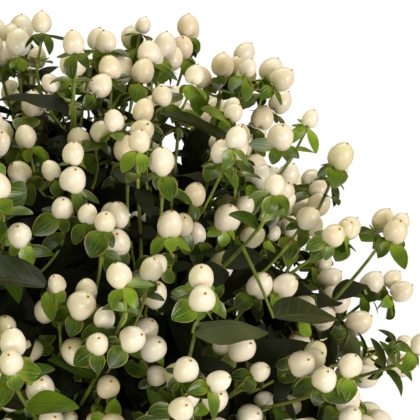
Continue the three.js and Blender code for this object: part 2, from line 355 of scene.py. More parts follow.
leaf_lines = np.concatenate([LONG_LEAVES, unseen_lines(10, 15)])
lines = np.concatenate([leaf_lines, CLEFTS, unseen_lines(14, 10)])
hollow_starts = crown_point(lines[:, 1], lines[:, 0], HOLLOW_SHARE)
hollow_ends = crown_point(lines[:, 3], lines[:, 2], HOLLOW_SHARE + TIP_FURTHER)
hollow_rooms = lines[:, 4] * MM
with_leaf = np.arange(len(lines)) < len(leaf_lines)
long_feet = hollow_starts[with_leaf]
long_tips = hollow_ends[with_leaf]
hollow_starts[with_leaf] = mix(long_feet, long_tips, LEAF_HOLLOW_START)
print("hollows:", len(lines), "of which with a long leaf:", len(leaf_lines))

# %% Keep points out of the hollows
CROWN_CENTRE = np.array([0, 0, CROWN_MIDDLE])


def at_share(points, share):
    """Points moved straight out from the crown's middle, or in, to lie at a share of it."""
    return CROWN_CENTRE + (points - CROWN_CENTRE) * (share / crown_share(points))[:, None]


def keep_off(points):
    """Moves points sideways out of the hollows, which run on towards the crown's middle."""
    shares = crown_share(points)
    points = at_share(points, HOLLOW_SHARE)
    along = (hollow_ends - hollow_starts)[:, None]
    gaps = points[None] - hollow_starts[:, None]
    place = np.clip(np.sum(gaps * along, axis=-1) / np.sum(along**2, axis=-1), 0, 1)
    gaps = gaps - place[..., None] * along
    far = np.linalg.norm(gaps, axis=-1)
    push = np.clip(hollow_rooms[:, None] - far, 0, None) / far
    return at_share(points + np.sum(gaps * push[..., None], axis=0), shares)


# %% Uneven crown
SWELLS = [  # turn and level, their spreads, and the gain in share of side sprays and of tips
    (0.66, 0.77, 0.16, 0.08, 0.17, 0.0),
    (0.87, 0.88, 0.12, 0.06, 0.08, 0.0),
    (1.32, 0.9, 0.15, 0.08, 0.07, 0.0),
    (1.83, 0.95, 0.2, 0.06, 0.0, -0.05),
    (2.35, 0.99, 0.3, 0.07, -0.1, -0.09),
    (-2.32, 0.95, 0.35, 0.06, 0.1, 0.1),
    (-1.34, 0.99, 0.4, 0.05, 0.03, 0.1),
    (-1.43, 0.12, 0.15, 0.12, 0.16, 0.0),
    (-0.1, 0.3, 0.6, 0.18, -0.2, 0.0),
    (-0.85, 0.5, 0.45, 0.2, -0.12, 0.0),
    (math.pi, 1.0, 3.0, 0.05, -0.05, -0.03),
    (-math.pi / 2, -0.3, 0.5, 0.25, 0.05, 0.09),
    (math.pi, -0.3, 0.5, 0.25, 0.05, 0.09),
]


def unevenness(points):
    """Where the crown bulges or thins: gains for side sprays and for the tips of shoots."""
    rise = points[:, 2] - CROWN_MIDDLE
    level = rise / half_of(rise)[0]
    turn = np.arctan2(points[:, 1], points[:, 0])
    gains = np.zeros((2, len(points)))
    for at_turn, at_level, wide, tall, of_sides, of_tips in SWELLS:
        aside = (turn - at_turn + math.pi) % (2 * math.pi) - math.pi
        share = np.exp(-((aside / wide) ** 2) - ((level - at_level) / tall) ** 2)
        gains += np.outer([of_sides, of_tips], share)
    return gains


# %% How far out each spray ends
TIP_PART = 0.3  # how much of the gain at the crown's top the shoots' own tips take
LOWEST_SPRAY = FRUITING_LEVEL - 0.05
on_side = spray_nodes < 1
tip_shares = crown_share(spray_tips[~on_side])
side_shares = rng.uniform(*OUTER_SHARE, on_side.sum())
wanted_shares = np.concatenate([tip_shares, side_shares])
wanted_shares += TOP_GAIN * shoot_levels[spray_homes] * np.where(on_side, 1, TIP_PART)
wanted_shares += np.where(on_side, *unevenness(spray_tips))


def hold_to_crown(points):
    low = CROWN_MIDDLE + BELOW_HEIGHT * LOWEST_SPRAY
    points[:, 2] = np.maximum(points[:, 2], low)
    return at_share(keep_off(points), wanted_shares)


# %% Nudge the sprays apart
SPRAY_ROOM = 13 * MM
SPRAY_ROUNDS = 8
SPRAY_SPREAD = 0.18
STALK_SHARES = (0.8, 1.1)
spray_tips = nudge_apart(spray_tips, SPRAY_ROOM, SPRAY_ROUNDS, hold_to_crown)
astray = rng.normal(0, SPRAY_SPREAD, spray_tips.shape)
spray_ways = unit(crown_normal(spray_tips) + UPTURN * UP + astray)
spray_forks = spray_tips - spray_ways * rng.uniform(*STALK_SHARES, (len(spray_tips), 1)) * STALK
grown = np.flatnonzero(wanted_shares > SHADED_SHARE)
print("sprays:", len(spray_tips), "of which grew:", len(grown))

# %% [markdown]
# ## Berries in forked clusters
#
# The flowers, and so the berries, stand in forked clusters: one berry ends the twig, and from a
# pair of small leaves under it two stalks carry one berry each, or fork once more. Berries can't
# share a place, so their middles are nudged apart as the sprays were, and the stalks are drawn
# afterwards to wherever their berries ended up.

# %% Deal the berries of each spray
BERRY_WIDTH = 8.6 * MM
CLUSTERS = [(0, 0), (1, 0), (1, 1), (2, 0), (2, 1)]  # berries on the two sides of the first
TIP_ODDS = [0.2, 0.28, 0.24, 0.17, 0.11]
SIDE_ODDS = [0.3, 0.3, 0.2, 0.13, 0.07]
LONE_UP, LONE_OUT = (5, 13), (8, 12)  # mm up and out from the fork to a berry alone on its side
FORK_UP, FORK_OUT = (3, 7), (6, 9)  # the same to a side fork
PAIR_UP, PAIR_OUT = (8, 13), (5, 7)  # the same from a side fork to its two berries
SIDE_BRACT = 0.7  # size of the small leaves at a side fork beside those at the first fork
berries_dealt = []  # middle, fork, spray, and what its width and length differ by
forks = []  # start and end of the short limbs between a spray's fork and its side forks
bract_seats = []  # where pairs of small leaves sit, the way one of them points, their size and spray
for spray in grown:
    own = np.random.default_rng(int(spray))  # each spray's numbers are its own
    way = spray_ways[spray]
    fork = spray_forks[spray]
    side = square_to(way[None], own.uniform(0, 2 * math.pi))[0]

    def add_berry(spot, at):
        berries_dealt.append((spot, at, spray, own.normal(), own.uniform()))

    add_berry(spray_tips[spray], fork)
    bract_seats.append((fork, way, side, 1.0, spray))
    odds = SIDE_ODDS if on_side[spray] else TIP_ODDS
    for hand, berries in zip((1, -1), CLUSTERS[own.choice(len(CLUSTERS), p=odds)]):
        out = side * hand
        if berries == 1:
            add_berry(fork + way * own.uniform(*LONE_UP) * MM + out * own.uniform(*LONE_OUT) * MM, fork)
        if berries == 2:
            second = fork + way * own.uniform(*FORK_UP) * MM + out * own.uniform(*FORK_OUT) * MM
            heading = unit(way + out)
            beside = np.cross(way, out)
            forks.append((fork, second))
            bract_seats.append((second, heading, beside, SIDE_BRACT, spray))
            for turn in (1, -1):
                lean = heading * own.uniform(*PAIR_UP) + beside * turn * own.uniform(*PAIR_OUT)
                add_berry(second + lean * MM, second)
berry_spots, berry_forks, berry_sprays, berry_swell, berry_stretch = map(np.array, zip(*berries_dealt))
print("berries:", len(berry_spots), "forks:", len(forks))

# %% Curves of the twigs and side twigs that carry the sprays
LOWEST_NODE = 0.06
OWN_LIMB_START = 0.9  # where on a twig the limb of the spray on its own tip starts
STRAIGHT = 0.42  # the share of a side twig's reach over which it heads the way its spray does
twig_ends[bearing] = spray_forks[~on_side]
twigs = (twig_roots, twig_middle(twig_roots, twig_ends), twig_ends)
fork_shares = crown_share(spray_forks[on_side]).reshape(len(SIDE_NODES), 2, -1).min(axis=1)
root_shares = crown_share(twig_roots)
node_places = np.repeat(np.array(SIDE_NODES)[:, None], SHOOT_COUNT, axis=1)
inside_forks = (fork_shares - FORK_RISE - root_shares[bearing]) / (1 - root_shares[bearing])
node_places[:, bearing] = np.clip(inside_forks, LOWEST_NODE, node_places[:, bearing])
side_places = np.repeat(node_places[:, None, bearing], 2, axis=1).ravel()
start_places = np.concatenate([np.full(len(bearing), OWN_LIMB_START), side_places])
side_starts = point_on(some(twigs, spray_homes), start_places)
side_reach = np.linalg.norm(spray_forks - side_starts, axis=1)[:, None]
side_twigs = (side_starts, spray_forks - spray_ways * side_reach * STRAIGHT, spray_forks)

# %% Pairs of small leaves on the side twigs
SIDE_LEAVES = [(0.78, 1.05), (0.55, 1.2), (0.3, 1.45)]  # place on the twig, and size beside a bract's
first_turns = rng.uniform(0, math.pi, len(side_starts))
for pair, (place, scale) in enumerate(SIDE_LEAVES):
    seats = point_on(side_twigs, place)
    headings = heading_on(side_twigs, place)
    sideways = square_to(headings, first_turns + pair * math.pi / 2)
    long_enough = grown[on_side[grown] | (pair == 2)]  # the limb of a spray on a shoot's own tip is short
    bract_seats += [(seats[s], headings[s], sideways[s], scale, s) for s in long_enough]
print("pairs of bracts and small leaves:", len(bract_seats))

# %% Size the berries
WIDTH_SPREAD = 0.13
WIDTH_LIMITS = (0.72, 1.2)
LENGTH_SHARES = (1.03, 1.2)  # length beside width, of a round berry and of a long one
berry_widths = BERRY_WIDTH * np.clip(1 + WIDTH_SPREAD * berry_swell, *WIDTH_LIMITS)
berry_lengths = berry_widths * mix(*LENGTH_SHARES, berry_stretch)
berry_girths = (berry_widths + berry_lengths) / 4  # mean radii
print("berry widths, mm:", round(berry_widths.min() / MM, 1), "to", round(berry_widths.max() / MM, 1))

# %% Keep the berries off the twigs
LIMB_ROOM = 1.2 * MM  # from a berry's skin to the middle of a twig


def tree_of(spots):
    """Points sorted in space, so that the nearest one to a spot is found fast."""
    tree = KDTree(len(spots))
    for index, spot in enumerate(spots):
        tree.insert(spot, index)
    tree.balance()
    return tree


limb_spots = np.concatenate([lines_of(twigs, 40).reshape(-1, 3), lines_of(side_twigs, 20).reshape(-1, 3)])
limb_tree = tree_of(limb_spots)


def off_limbs(points):
    """Moves berries that a twig would run through."""
    for berry, spot in enumerate(points):
        near, _, far = limb_tree.find(spot)
        lacking = berry_girths[berry] + LIMB_ROOM - far
        if lacking > 0:
            points[berry] += unit(spot - np.array(near)) * lacking
    return points


# %% Nudge the berries apart
BERRY_ROOM = 1.02  # the distance of two berries' middles beside their radii together
BERRY_ROUNDS = 40
LARGEST_SHARE = 1.1
BERRY_UPTURN = 0.9
BERRY_SPREAD = 0.16


def hold_in_crown(points):
    points = off_limbs(keep_off(points))
    return at_share(points, np.minimum(crown_share(points), LARGEST_SHARE))


berry_rooms = (berry_girths[:, None] + berry_girths) * BERRY_ROOM
berry_spots = nudge_apart(berry_spots, berry_rooms, BERRY_ROUNDS, hold_in_crown)
berry_rise = unit(berry_spots - berry_forks)
astray = rng.normal(0, BERRY_SPREAD, berry_spots.shape)
berry_ways = unit(berry_rise + BERRY_UPTURN * spray_ways[berry_sprays] + astray)
berry_bases = berry_spots - berry_ways * (berry_lengths / 2)[:, None]
print("berries in place, level with the top, mm:", round(float(berry_spots[:, 2].max()) / MM, 1))

# %% [markdown]
# ## Meshes from arrays
#
# Every small thing is a copy of one pattern of corners and triangles. A batch holds the corners of
# all copies as one array, the pattern's triangles and the number of a finish for each triangle.
# Batches are joined into a few large meshes, because a mesh is written to Blender in one go with
# foreach_set, and a scene of twenty meshes is faster to draw and to export than one of thousands.

# %% Finishes by number, and batches
palette = []


def number_of(material):
    palette.append(material)
    return len(palette) - 1


def batch(points, faces, finish, spots=(0.5, 0.5)):
    """Copies of one pattern: points are (copies, corners, 3), finish is one number, one for each
    triangle or one for each copy and triangle, and spots are the corners' places on the blade."""
    copies, corners = points.shape[:2]
    first = (np.arange(copies) * corners)[:, None, None]
    return {
        "points": points.reshape(-1, 3),
        "faces": (faces[None] + first).reshape(-1, 3),
        "finish": np.broadcast_to(finish, (copies, len(faces))).reshape(-1),
        "spots": np.broadcast_to(spots, (copies, corners, 2)).reshape(-1, 2),
    }


# %% One mesh from several batches
def make_piece(name, batches, stands_for):
    starts = np.cumsum([0] + [len(b["points"]) for b in batches[:-1]])
    points = np.concatenate([b["points"] for b in batches])
    faces = np.concatenate([b["faces"] + start for b, start in zip(batches, starts)])
    spots = np.concatenate([b["spots"] for b in batches])
    used, finish = np.unique(np.concatenate([b["finish"] for b in batches]), return_inverse=True)
    mesh = bpy.data.meshes.new(name)
    mesh.vertices.add(len(points))
    mesh.vertices.foreach_set("co", points.astype(np.float32).ravel())
    mesh.loops.add(faces.size)
    mesh.loops.foreach_set("vertex_index", faces.astype(np.int32).ravel())
    mesh.polygons.add(len(faces))
    mesh.polygons.foreach_set("loop_start", np.arange(0, faces.size, 3, dtype=np.int32))
    for number in used:
        mesh.materials.append(palette[number])
    mesh.polygons.foreach_set("material_index", finish.astype(np.int32))
    mesh.update(calc_edges=True)
    blade = mesh.uv_layers.new(name="blade")
    blade.data.foreach_set("uv", spots[faces.ravel()].astype(np.float32).ravel())
    mesh.shade_smooth()
    piece = bpy.data.objects.new(name, mesh)
    bpy.context.scene.collection.objects.link(piece)
    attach(piece, "root")
    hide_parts(*stands_for)
    print(f"{name}: {len(faces)} triangles, {len(used)} finishes")
    return piece


# %% Grids of triangles
def grid_faces(rows, columns, closed=False):
    """Triangles between rows of corners; closed joins each row's last corner to its first."""
    strips = columns if closed else columns - 1
    row, strip = np.meshgrid(np.arange(rows - 1), np.arange(strips), indexing="ij")
    a = (row * columns + strip).ravel()
    b = (row * columns + (strip + 1) % columns).ravel()
    quads = np.stack([a, b, b + columns, a, b + columns, a + columns], axis=1)
    return quads.reshape(-1, 3)


def fan_faces(ring, tip, outward=True):
    """Triangles from a ring of corners to one tip."""
    following = np.roll(ring, -1)
    pair = (ring, following) if outward else (following, ring)
    return np.stack([*pair, np.full(len(ring), tip)], axis=1)


def capped_faces(rings, sides):
    """Triangles of a round body whose first and last corner stand before and after its rings."""
    last = 1 + rings * sides
    return np.concatenate([
        fan_faces(np.arange(1, 1 + sides), 0, outward=False),
        grid_faces(rings, sides, closed=True) + 1,
        fan_faces(np.arange(last - sides, last), last),
    ])


# %% Round limbs
def tubes(lines, radii, sides, finish):
    """A round limb along each line of points, (limbs, steps, 3), with a radius at each point."""
    limbs, steps = lines.shape[:2]
    along = unit(np.gradient(lines, axis=1))
    helper = square_to(unit(along.mean(axis=1)), 0.0)[:, None]
    first = unit(np.cross(along, helper))
    second = np.cross(along, first)
    turn = np.arange(sides) * 2 * math.pi / sides
    radii = np.broadcast_to(radii, (limbs, steps))[..., None, None]
    rims = first[:, :, None] * np.cos(turn)[:, None] + second[:, :, None] * np.sin(turn)[:, None]
    points = lines[:, :, None] + rims * radii
    return batch(points.reshape(limbs, -1, 3), grid_faces(steps, sides, closed=True), finish)


# %% [markdown]
# ## Finishes
#
# A finish is a small tree of shader nodes. Written out, node trees hide the sum that they work out,
# so a link between nodes is wrapped in a class that understands plus, minus and times: the sum is
# then read as a sum. Many leaves share one mesh, so a colour that has its place, such as a paler
# young leaf, is a finish of its own, and noise only adds what may fall anywhere.

# %% Shader sums
class Link:
    """A node's output, which can be used in sums."""

    def __init__(self, finish, socket):
        self.finish = finish
        self.socket = socket

    def math(self, operation, *others):
        inputs = dict(enumerate([self, *others]))
        return self.finish.node("ShaderNodeMath", {"operation": operation}, inputs)

    def __add__(self, other):
        return self.math("ADD", other)

    def __mul__(self, other):
        return self.math("MULTIPLY", other)

    def __sub__(self, other):
        return self.math("SUBTRACT", other)

    def __rsub__(self, other):
        return self * -1 + other

    def __truediv__(self, other):
        return self.math("DIVIDE", other)

    def __pow__(self, other):
        return self.math("POWER", other)

    __radd__ = __add__
    __rmul__ = __mul__


# %% A finish
class Finish:
    """One material. Its constants are set on the shader, and what varies is plugged into it."""

    def __init__(self, name, **constants):
        self.material = bpy.data.materials.new(name)
        self.material.use_nodes = True
        self.nodes = self.material.node_tree.nodes
        self.links = self.material.node_tree.links
        self.shader = self.nodes["Principled BSDF"]
        for words, value in constants.items():
            self.plug(words.replace("_", " ").title().replace("Ior", "IOR"), value)

    def node(self, kind, settings=None, inputs=None, output=0):
        made = self.nodes.new(kind)
        for name, value in (settings or {}).items():
            setattr(made, name, value)
        for key, value in (inputs or {}).items():
            self.join(value, made.inputs[key])
        return Link(self, made.outputs[output])

    def join(self, value, socket):
        if isinstance(value, Link):
            self.links.new(value.socket, socket)
        else:
            socket.default_value = value

    def plug(self, name, value):
        self.join(value, self.shader.inputs[name])

    def noise(self, size, detail=2.0):
        """Noise from 0 to 1 whose spots are about size across."""
        place = self.node("ShaderNodeTexCoord", output="Object")
        inputs = {"Vector": place, "Scale": 1 / size, "Detail": detail}
        return self.node("ShaderNodeTexNoise", None, inputs)

    def blend(self, share, first, second):
        """A colour between two colours."""
        inputs = {0: share, 6: (*first, 1) if isinstance(first, tuple) else first}
        inputs[7] = (*second, 1) if isinstance(second, tuple) else second
        return self.node("ShaderNodeMix", {"data_type": "RGBA"}, inputs, 2)

    def bump(self, height, depth, strength=1.0):
        inputs = {"Height": height, "Distance": depth, "Strength": strength}
        self.plug("Normal", self.node("ShaderNodeBump", None, inputs))


def contrast(link, low, high):
    """Stretches values from low to high over 0 to 1 and cuts off the rest."""
    stretched = (link - low) / (high - low)
    return stretched.math("MAXIMUM", 0.0).math("MINIMUM", 1.0)


# %% [markdown]
# ## Twigs and stalks
#
# Young St John's wort twigs are round, smooth and yellow-green, 1 to 2 mm thick, and the stalks of
# the berries about 1 mm. Each pair of leaves leaves a brownish ring. Curves with a bevel would
# do for a few twigs, and here a tube is laid around arrays of points, so all twigs are one mesh.

# %% Green bark
def green_bark(name, light, dark):
    finish = Finish(name, roughness=0.42, coat_weight=0.12, coat_roughness=0.35)
    patches = contrast(finish.noise(9 * MM), 0.35, 0.7)
    finish.plug("Base Color", finish.blend(patches, light, dark))
    finish.bump(finish.noise(1.2 * MM), 0.15 * MM, 0.5)
    return number_of(finish.material)


TWIG_GREEN = green_bark("twig_green", (0.17, 0.215, 0.03), (0.085, 0.12, 0.018))
STALK_GREEN = green_bark("stalk_green", (0.28, 0.36, 0.05), (0.17, 0.235, 0.03))
RING_BROWN = green_bark("ring_brown", (0.23, 0.19, 0.045), (0.15, 0.1, 0.025))

# %% Curves of the limbs between forks and the stalks
STALK_STRAIGHT = 0.45  # share of a stalk's reach that points as its berry does
fork_starts, fork_ends = map(np.array, zip(*forks))
fork_limbs = (fork_starts, mix(fork_starts, fork_ends, 0.5) - UP * 1 * MM, fork_ends)
stalk_reach = np.linalg.norm(berry_bases - berry_forks, axis=1)[:, None]
stalks = (berry_forks, berry_bases - berry_ways * stalk_reach * STALK_STRAIGHT, berry_bases)
print("mean stalk, mm:", round(float(stalk_reach.mean()) / MM, 1))


# %% Batches of limbs
TWIG_RADII = (0.92, 0.62)  # mm at the start and the end
SIDE_RADII = (0.62, 0.52)
FORK_RADII = (0.58, 0.54)
FORK_FLARE = 0.4  # mm
STALK_RADII = np.array([0.5, 0.5, 0.52, 0.62, 0.95]) * MM  # a stalk widens under its berry
RINGS_ON_TWIG = [(1, 0.94 * MM), (0.6, 0.62 * MM)]  # place on a side twig, and radius


def taper(start, end, steps):
    return np.linspace(start, end, steps + 1)


def flared(start, end, steps):
    """Radii of a limb that widens into the fork at its end."""
    share = np.linspace(0, 1, steps + 1)
    return mix(start, end, share) + FORK_FLARE * share**12


def rings_at(curve, place, radius):
    """Brown rings round limbs where a pair of leaves sits."""
    near = np.stack([point_on(curve, place + step) for step in (-0.03, 0, 0.025, 0.04)], axis=1)
    return tubes(near, radius * np.array([0.9, 1.22, 0.9, 0.1]), 6, RING_BROWN)


def limb_batches(shoots, sprays, berries, between):
    return [
        tubes(lines_of(some(twigs, shoots), 10), taper(*TWIG_RADII, 10) * MM, 7, TWIG_GREEN),
        tubes(lines_of(some(side_twigs, sprays), 8), flared(*SIDE_RADII, 8) * MM, 6, STALK_GREEN),
        tubes(lines_of(some(fork_limbs, between), 3), taper(*FORK_RADII, 3) * MM, 6, STALK_GREEN),
        tubes(lines_of(some(stalks, berries), 4), STALK_RADII, 6, STALK_GREEN),
        *[rings_at(some(side_twigs, sprays), place, radius) for place, radius in RINGS_ON_TWIG],
    ]


# %% [markdown]
# ## Leaves, bracts and sepals
#
# All the green blades of the plant are one form at several sizes: egg-shaped, stalkless, folded a
# little along the midrib and arched towards the ground. The blade is a grid bent along a circle,
# with a point at its tip. A subdivided plane with modifiers would be bent one at a time, while this
# function bends thousands, each by its own length, width, arch and fold.

# %% The form of a blade
FOOT_PLACE = 0.02  # the first row of corners lies just off the foot, which is a point
TIP_CROWDING = 1.45  # above 1 the rows lie closer together towards the tip
LEAST_ARCH = 0.02
RIPPLES = 9


def outline(place, early, blunt):
    """Share of the half width at a place along the blade; a smaller early moves its widest part in."""
    return np.sin(math.pi * place**early) ** blunt


def blades(root, along, facing, length, width, arch, fold, rows, columns, early=0.72, blunt=0.68, wave=0.0):
    """Corners of blades, (blades, corners, 3), their normals, and the corners' places on the blade."""
    count = len(root)
    across = unit(np.cross(facing, along))
    up = np.cross(along, across)
    even = np.linspace(0, 1, rows + 1)[1:]
    place = np.array([FOOT_PLACE, *(1 - (1 - even) ** TIP_CROWDING)])[:, None]
    aside = np.asarray(columns)[None]
    length, width, arch, fold, wave = (
        np.broadcast_to(v, count)[:, None, None] for v in (length, width, arch, fold, wave)
    )
    arch = np.where(np.abs(arch) < LEAST_ARCH, LEAST_ARCH, arch)
    bend = arch * place
    share = outline(place, early, np.broadcast_to(blunt, count)[:, None, None])
    half = width / 2 * share * aside
    phase = rng.uniform(0, 2 * math.pi, (count, 1, 1))
    ripple = wave * length * share * aside**2 * np.sin(place * RIPPLES + phase + aside)
    lift = np.abs(half) * np.sin(fold) + ripple
    forward = length * np.sin(bend) / arch + lift * np.sin(bend)
    rise = -length * (1 - np.cos(bend)) / arch + lift * np.cos(bend)
    beside = half * np.cos(fold)
    axes = [v[:, None, None] for v in (along, across, up)]
    points = root[:, None, None] + sum(a * s[..., None] for a, s in zip(axes, (forward, beside, rise)))
    normals = axes[0] * np.sin(bend)[..., None] + axes[2] * np.cos(bend)[..., None] + 0 * points
    spots = np.stack(np.broadcast_arrays(place, aside / 2 + 0.5), axis=-1)
    return trim_tip(points), trim_tip(normals), trim_tip(spots[None])[0]


# %% Corners and triangles of a blade
def trim_tip(grid):
    """Keeps one corner of the last row, the tip."""
    body = grid[:, :-1].reshape(len(grid), -1, grid.shape[-1])
    tip = grid[:, -1, :1]
    return np.concatenate([body, tip], axis=1)


def blade_faces(rows, columns):
    tip = rows * columns
    last = np.arange(tip - columns, tip)
    cap = np.stack([last[:-1], last[1:], np.full(columns - 1, tip)], axis=1)
    return np.concatenate([grid_faces(rows, columns), cap])


def blade_finish(rows, columns, inside, edge):
    """The edge's finish on the outer strips of a blade, and the inside's on the others."""
    strip = np.tile(np.repeat(np.arange(columns - 1), 2), rows - 1)
    strip = np.concatenate([strip, np.arange(columns - 1)])
    return np.where((strip == 0) | (strip == columns - 2), edge, inside)


# %% Leaf finishes
def leaf_green(name, light, dark, roughness, vein, veins=7.0, rib=0.5, base_glow=0.0, shine=0.2):
    """A leaf's face with a midrib and veins that run towards its edge."""
    finish = Finish(name, specular_ior_level=shine)
    blade = finish.node("ShaderNodeUVMap", {"uv_map": "blade"})
    along = finish.node("ShaderNodeSeparateXYZ", None, {0: blade}, 0)
    across = finish.node("ShaderNodeSeparateXYZ", None, {0: blade}, 1)
    aside = (across * 2 - 1).math("ABSOLUTE")
    wave = ((along * veins - aside * 1.7) * 2 * math.pi).math("SINE") * 0.5 + 0.5
    lines = (wave**16) * (1 - aside * 0.7)
    midrib = 1 - contrast(aside, 0.03, 0.1)
    patches = contrast(finish.noise(14 * MM), 0.35, 0.68)
    face = finish.blend(patches, light, dark)
    glow = base_glow * (1 - contrast(along, 0, 0.55))
    ribs = (lines * 0.35).math("MAXIMUM", midrib * rib).math("MAXIMUM", glow)
    finish.plug("Base Color", finish.blend(ribs, face, vein))
    finish.plug("Roughness", finish.noise(3 * MM) * 0.14 + (roughness - 0.07))
    relief = finish.noise(1.3 * MM) * 0.3 - lines * 0.6 - midrib
    finish.bump(relief, 0.22 * MM, 0.6)
    return number_of(finish.material)


# A near-black copy of the leaf finish: painted shade for leaves deep in the crown
PAINTED_SHADE_VEIN = (0.022, 0.03, 0.011)
LEAF_PAINTED_SHADE = leaf_green(
    "leaf_painted_shade", (0.012, 0.017, 0.006), (0.005, 0.007, 0.003), 0.55, PAINTED_SHADE_VEIN, shine=0.12
)
LEAF_MID = leaf_green("leaf_mid", (0.043, 0.088, 0.004), (0.02, 0.044, 0.003), 0.31, (0.09, 0.15, 0.012))
LEAF_OLD = leaf_green("leaf_old", (0.024, 0.033, 0.01), (0.011, 0.017, 0.006), 0.4, (0.08, 0.1, 0.03))
LEAF_FRESH = leaf_green("leaf_fresh", (0.12, 0.205, 0.009), (0.055, 0.105, 0.006), 0.34, (0.15, 0.24, 0.03))
UNDERSIDE_VEIN = (0.035, 0.048, 0.018)
UNDERSIDE = leaf_green("leaf_underside", (0.075, 0.09, 0.034), (0.045, 0.058, 0.022), 0.6, UNDERSIDE_VEIN)


def sepal_green(name, light, dark, base, shine=0.4):
    """A sepal's face, paler at its base, with hardly any veins."""
    return leaf_green(name, light, dark, 0.29, base, veins=0.0, rib=0.22, base_glow=0.92, shine=shine)


SEPAL_GREEN = sepal_green(
    "sepal_green", (0.07, 0.145, 0.004), (0.028, 0.066, 0.003), (0.29, 0.41, 0.03), shine=0.5
)
# A dark copy of the sepal finish: painted shade for sepals and bracts further in the crown
SEPAL_PAINTED_SHADE = sepal_green("sepal_painted_shade", (0.036, 0.076, 0.003), (0.016, 0.036, 0.003), (0.17, 0.26, 0.02))
SEPAL_LIME = sepal_green("sepal_lime", (0.16, 0.29, 0.012), (0.08, 0.16, 0.006), (0.36, 0.48, 0.05))
MARGIN = green_bark("blade_margin", (0.26, 0.27, 0.045), (0.2, 0.11, 0.03))

# %% Keep blades out of the berries and the pot
berry_tree = tree_of(berry_spots)
SKIN = 0.96  # what is nearer to a berry's middle than this share of its radius is inside it
MOST_INSIDE = 0.03  # share of a blade's corners that may lie inside a berry
POT_ROOM = 2 * MM


def in_berries(points, own=None):
    """Share of each blade's corners that lie inside a berry, its own left out."""
    share = np.zeros(len(points))
    for blade, corners in enumerate(points):
        for corner in corners:
            _, berry, far = berry_tree.find(Vector(corner))
            mine = own is not None and own[blade] == berry
            share[blade] += far < berry_girths[berry] * SKIN and not mine
    return share / points.shape[1]


def clear(points):
    """True for blades that keep out of the berries and the pot, and inside the solids' box."""
    radius = np.hypot(points[..., 0], points[..., 1])
    in_pot = ((radius < RIM_RADIUS + POT_ROOM) & (points[..., 2] < POT_HEIGHT + POT_ROOM)).any(axis=1)
    low = np.array(cad_low)
    high = np.array(cad_high)
    outside = ((points < low) | (points > high)).any(axis=(1, 2))
    return ~in_pot & ~outside & (in_berries(points) < MOST_INSIDE)


# %% Where leaves sit
LARGE, SMALL, LONG = 0, 1, 2  # kinds of leaves: inside the crown, near a twig's end, and in a hollow
LEAF_SPREAD = 0.12
LENGTH_SPREAD = (0.86, 1.12)
leaves = {"root": [], "along": [], "facing": [], "length": [], "mass": [], "kind": []}


def deal(**columns):
    """Adds leaves, a value or a direction of each in every column."""
    for key, values in columns.items():
        leaves[key].append(values)


def add_pair(root, heading, sideways, length, mass, kind, forward=0.55):
    """A pair of opposite leaves on each limb, square to it on both hands."""
    for hand in (1, -1):
        flat = sideways - heading * np.sum(sideways * heading, axis=1, keepdims=True)
        across = unit(flat) * hand
        deal(
            root=root,
            along=unit(across + heading * forward + rng.normal(0, LEAF_SPREAD, root.shape)),
            facing=unit(heading + UP * 0.5),
            length=length * rng.uniform(*LENGTH_SPREAD, len(root)),
            mass=mass,
            kind=np.full(len(root), kind),
        )


# %% Pairs of large leaves on leaders and twigs, and of small ones near the twigs' ends
POINTING_ON = 0.7  # pairs on leaders and in the skirt point on along their limb more than others
leader_curves = (stem_tips, mix(stem_tips, leader_tips, 0.5), leader_tips)
every_mass = np.arange(len(mass_names))
for turn, node in enumerate((0.05, 0.35, 0.65, 0.95)):
    aside = square_to(mass_ways, turn * math.pi / 2 + 0.4)
    add_pair(point_on(leader_curves, node), mass_ways, aside, 50 * MM, every_mass, LARGE, POINTING_ON)
for quarter, node, length, kind in (
    (1, node_places[0] * 0.5, 50 * MM, LARGE),
    (0, node_places[0], 42 * MM, LARGE),
    (1, node_places[1], 30 * MM, LARGE),
    (0, (node_places[1] + 1) / 2, 20 * MM, SMALL),
):
    aside = square_to(crown_normal(shoot_tips), math.pi * (shoot_rolls + quarter / 2))
    add_pair(point_on(twigs, node), heading_on(twigs, node), aside, length, shoot_masses, kind)

# %% Pairs on the leafy shoots of the skirt, up to their tips
leafy = np.flatnonzero(~fruiting)
for turn, node in enumerate((0.5, 0.78, 0.97)):
    bare = some(twigs, leafy)
    aside = square_to(heading_on(bare, node), turn * math.pi / 2)
    length = (54 - 4 * turn) * MM
    heading = heading_on(bare, node)
    add_pair(point_on(bare, node), heading, aside, length, shoot_masses[leafy], LARGE, POINTING_ON)

# %% Long leaves in the hollows, each on a short twig from the nearest place on another
STEPS = 24
STRETCH = slice(5, 22)  # the steps of a twig at which the twig of a long leaf may start
LONG_LENGTHS = (32 * MM, 46 * MM)
TURNED_EVERY = 5  # one long leaf in so many shows its underside
carriers = np.concatenate([lines_of(twigs, STEPS)[:, STRETCH], lines_of(side_twigs, STEPS)[:, STRETCH]])
spray_masses = shoot_masses[spray_homes]
carrier_masses = np.repeat(np.concatenate([shoot_masses, spray_masses]), carriers.shape[1])
carriers = carriers.reshape(-1, 3)
away = np.linalg.norm(long_feet[:, None] - carriers[None], axis=-1)
nearest = np.argmin(away, axis=1)
long_masses = carrier_masses[nearest]
leaf_twigs = (carriers[nearest], mix(carriers[nearest], long_feet, 0.6) + UP * 2 * MM, long_feet)
print("longest twig of a long leaf, mm:", round(float(away.min(axis=1).max()) / MM, 1))
turned_over = np.where(np.arange(len(long_feet)) % TURNED_EVERY == 0, -1, 1)[:, None]
reach = np.linalg.norm(long_tips - long_feet, axis=1)
deal(
    root=long_feet,
    along=unit(long_tips - long_feet + UP * 4 * MM),
    facing=unit(crown_normal(long_feet) * 0.4 + UP) * turned_over,
    length=np.clip(reach * 1.1, *LONG_LENGTHS),
    mass=long_masses,
    kind=np.full(len(long_feet), LONG),
)
leaves = {key: np.concatenate(value) for key, value in leaves.items()}

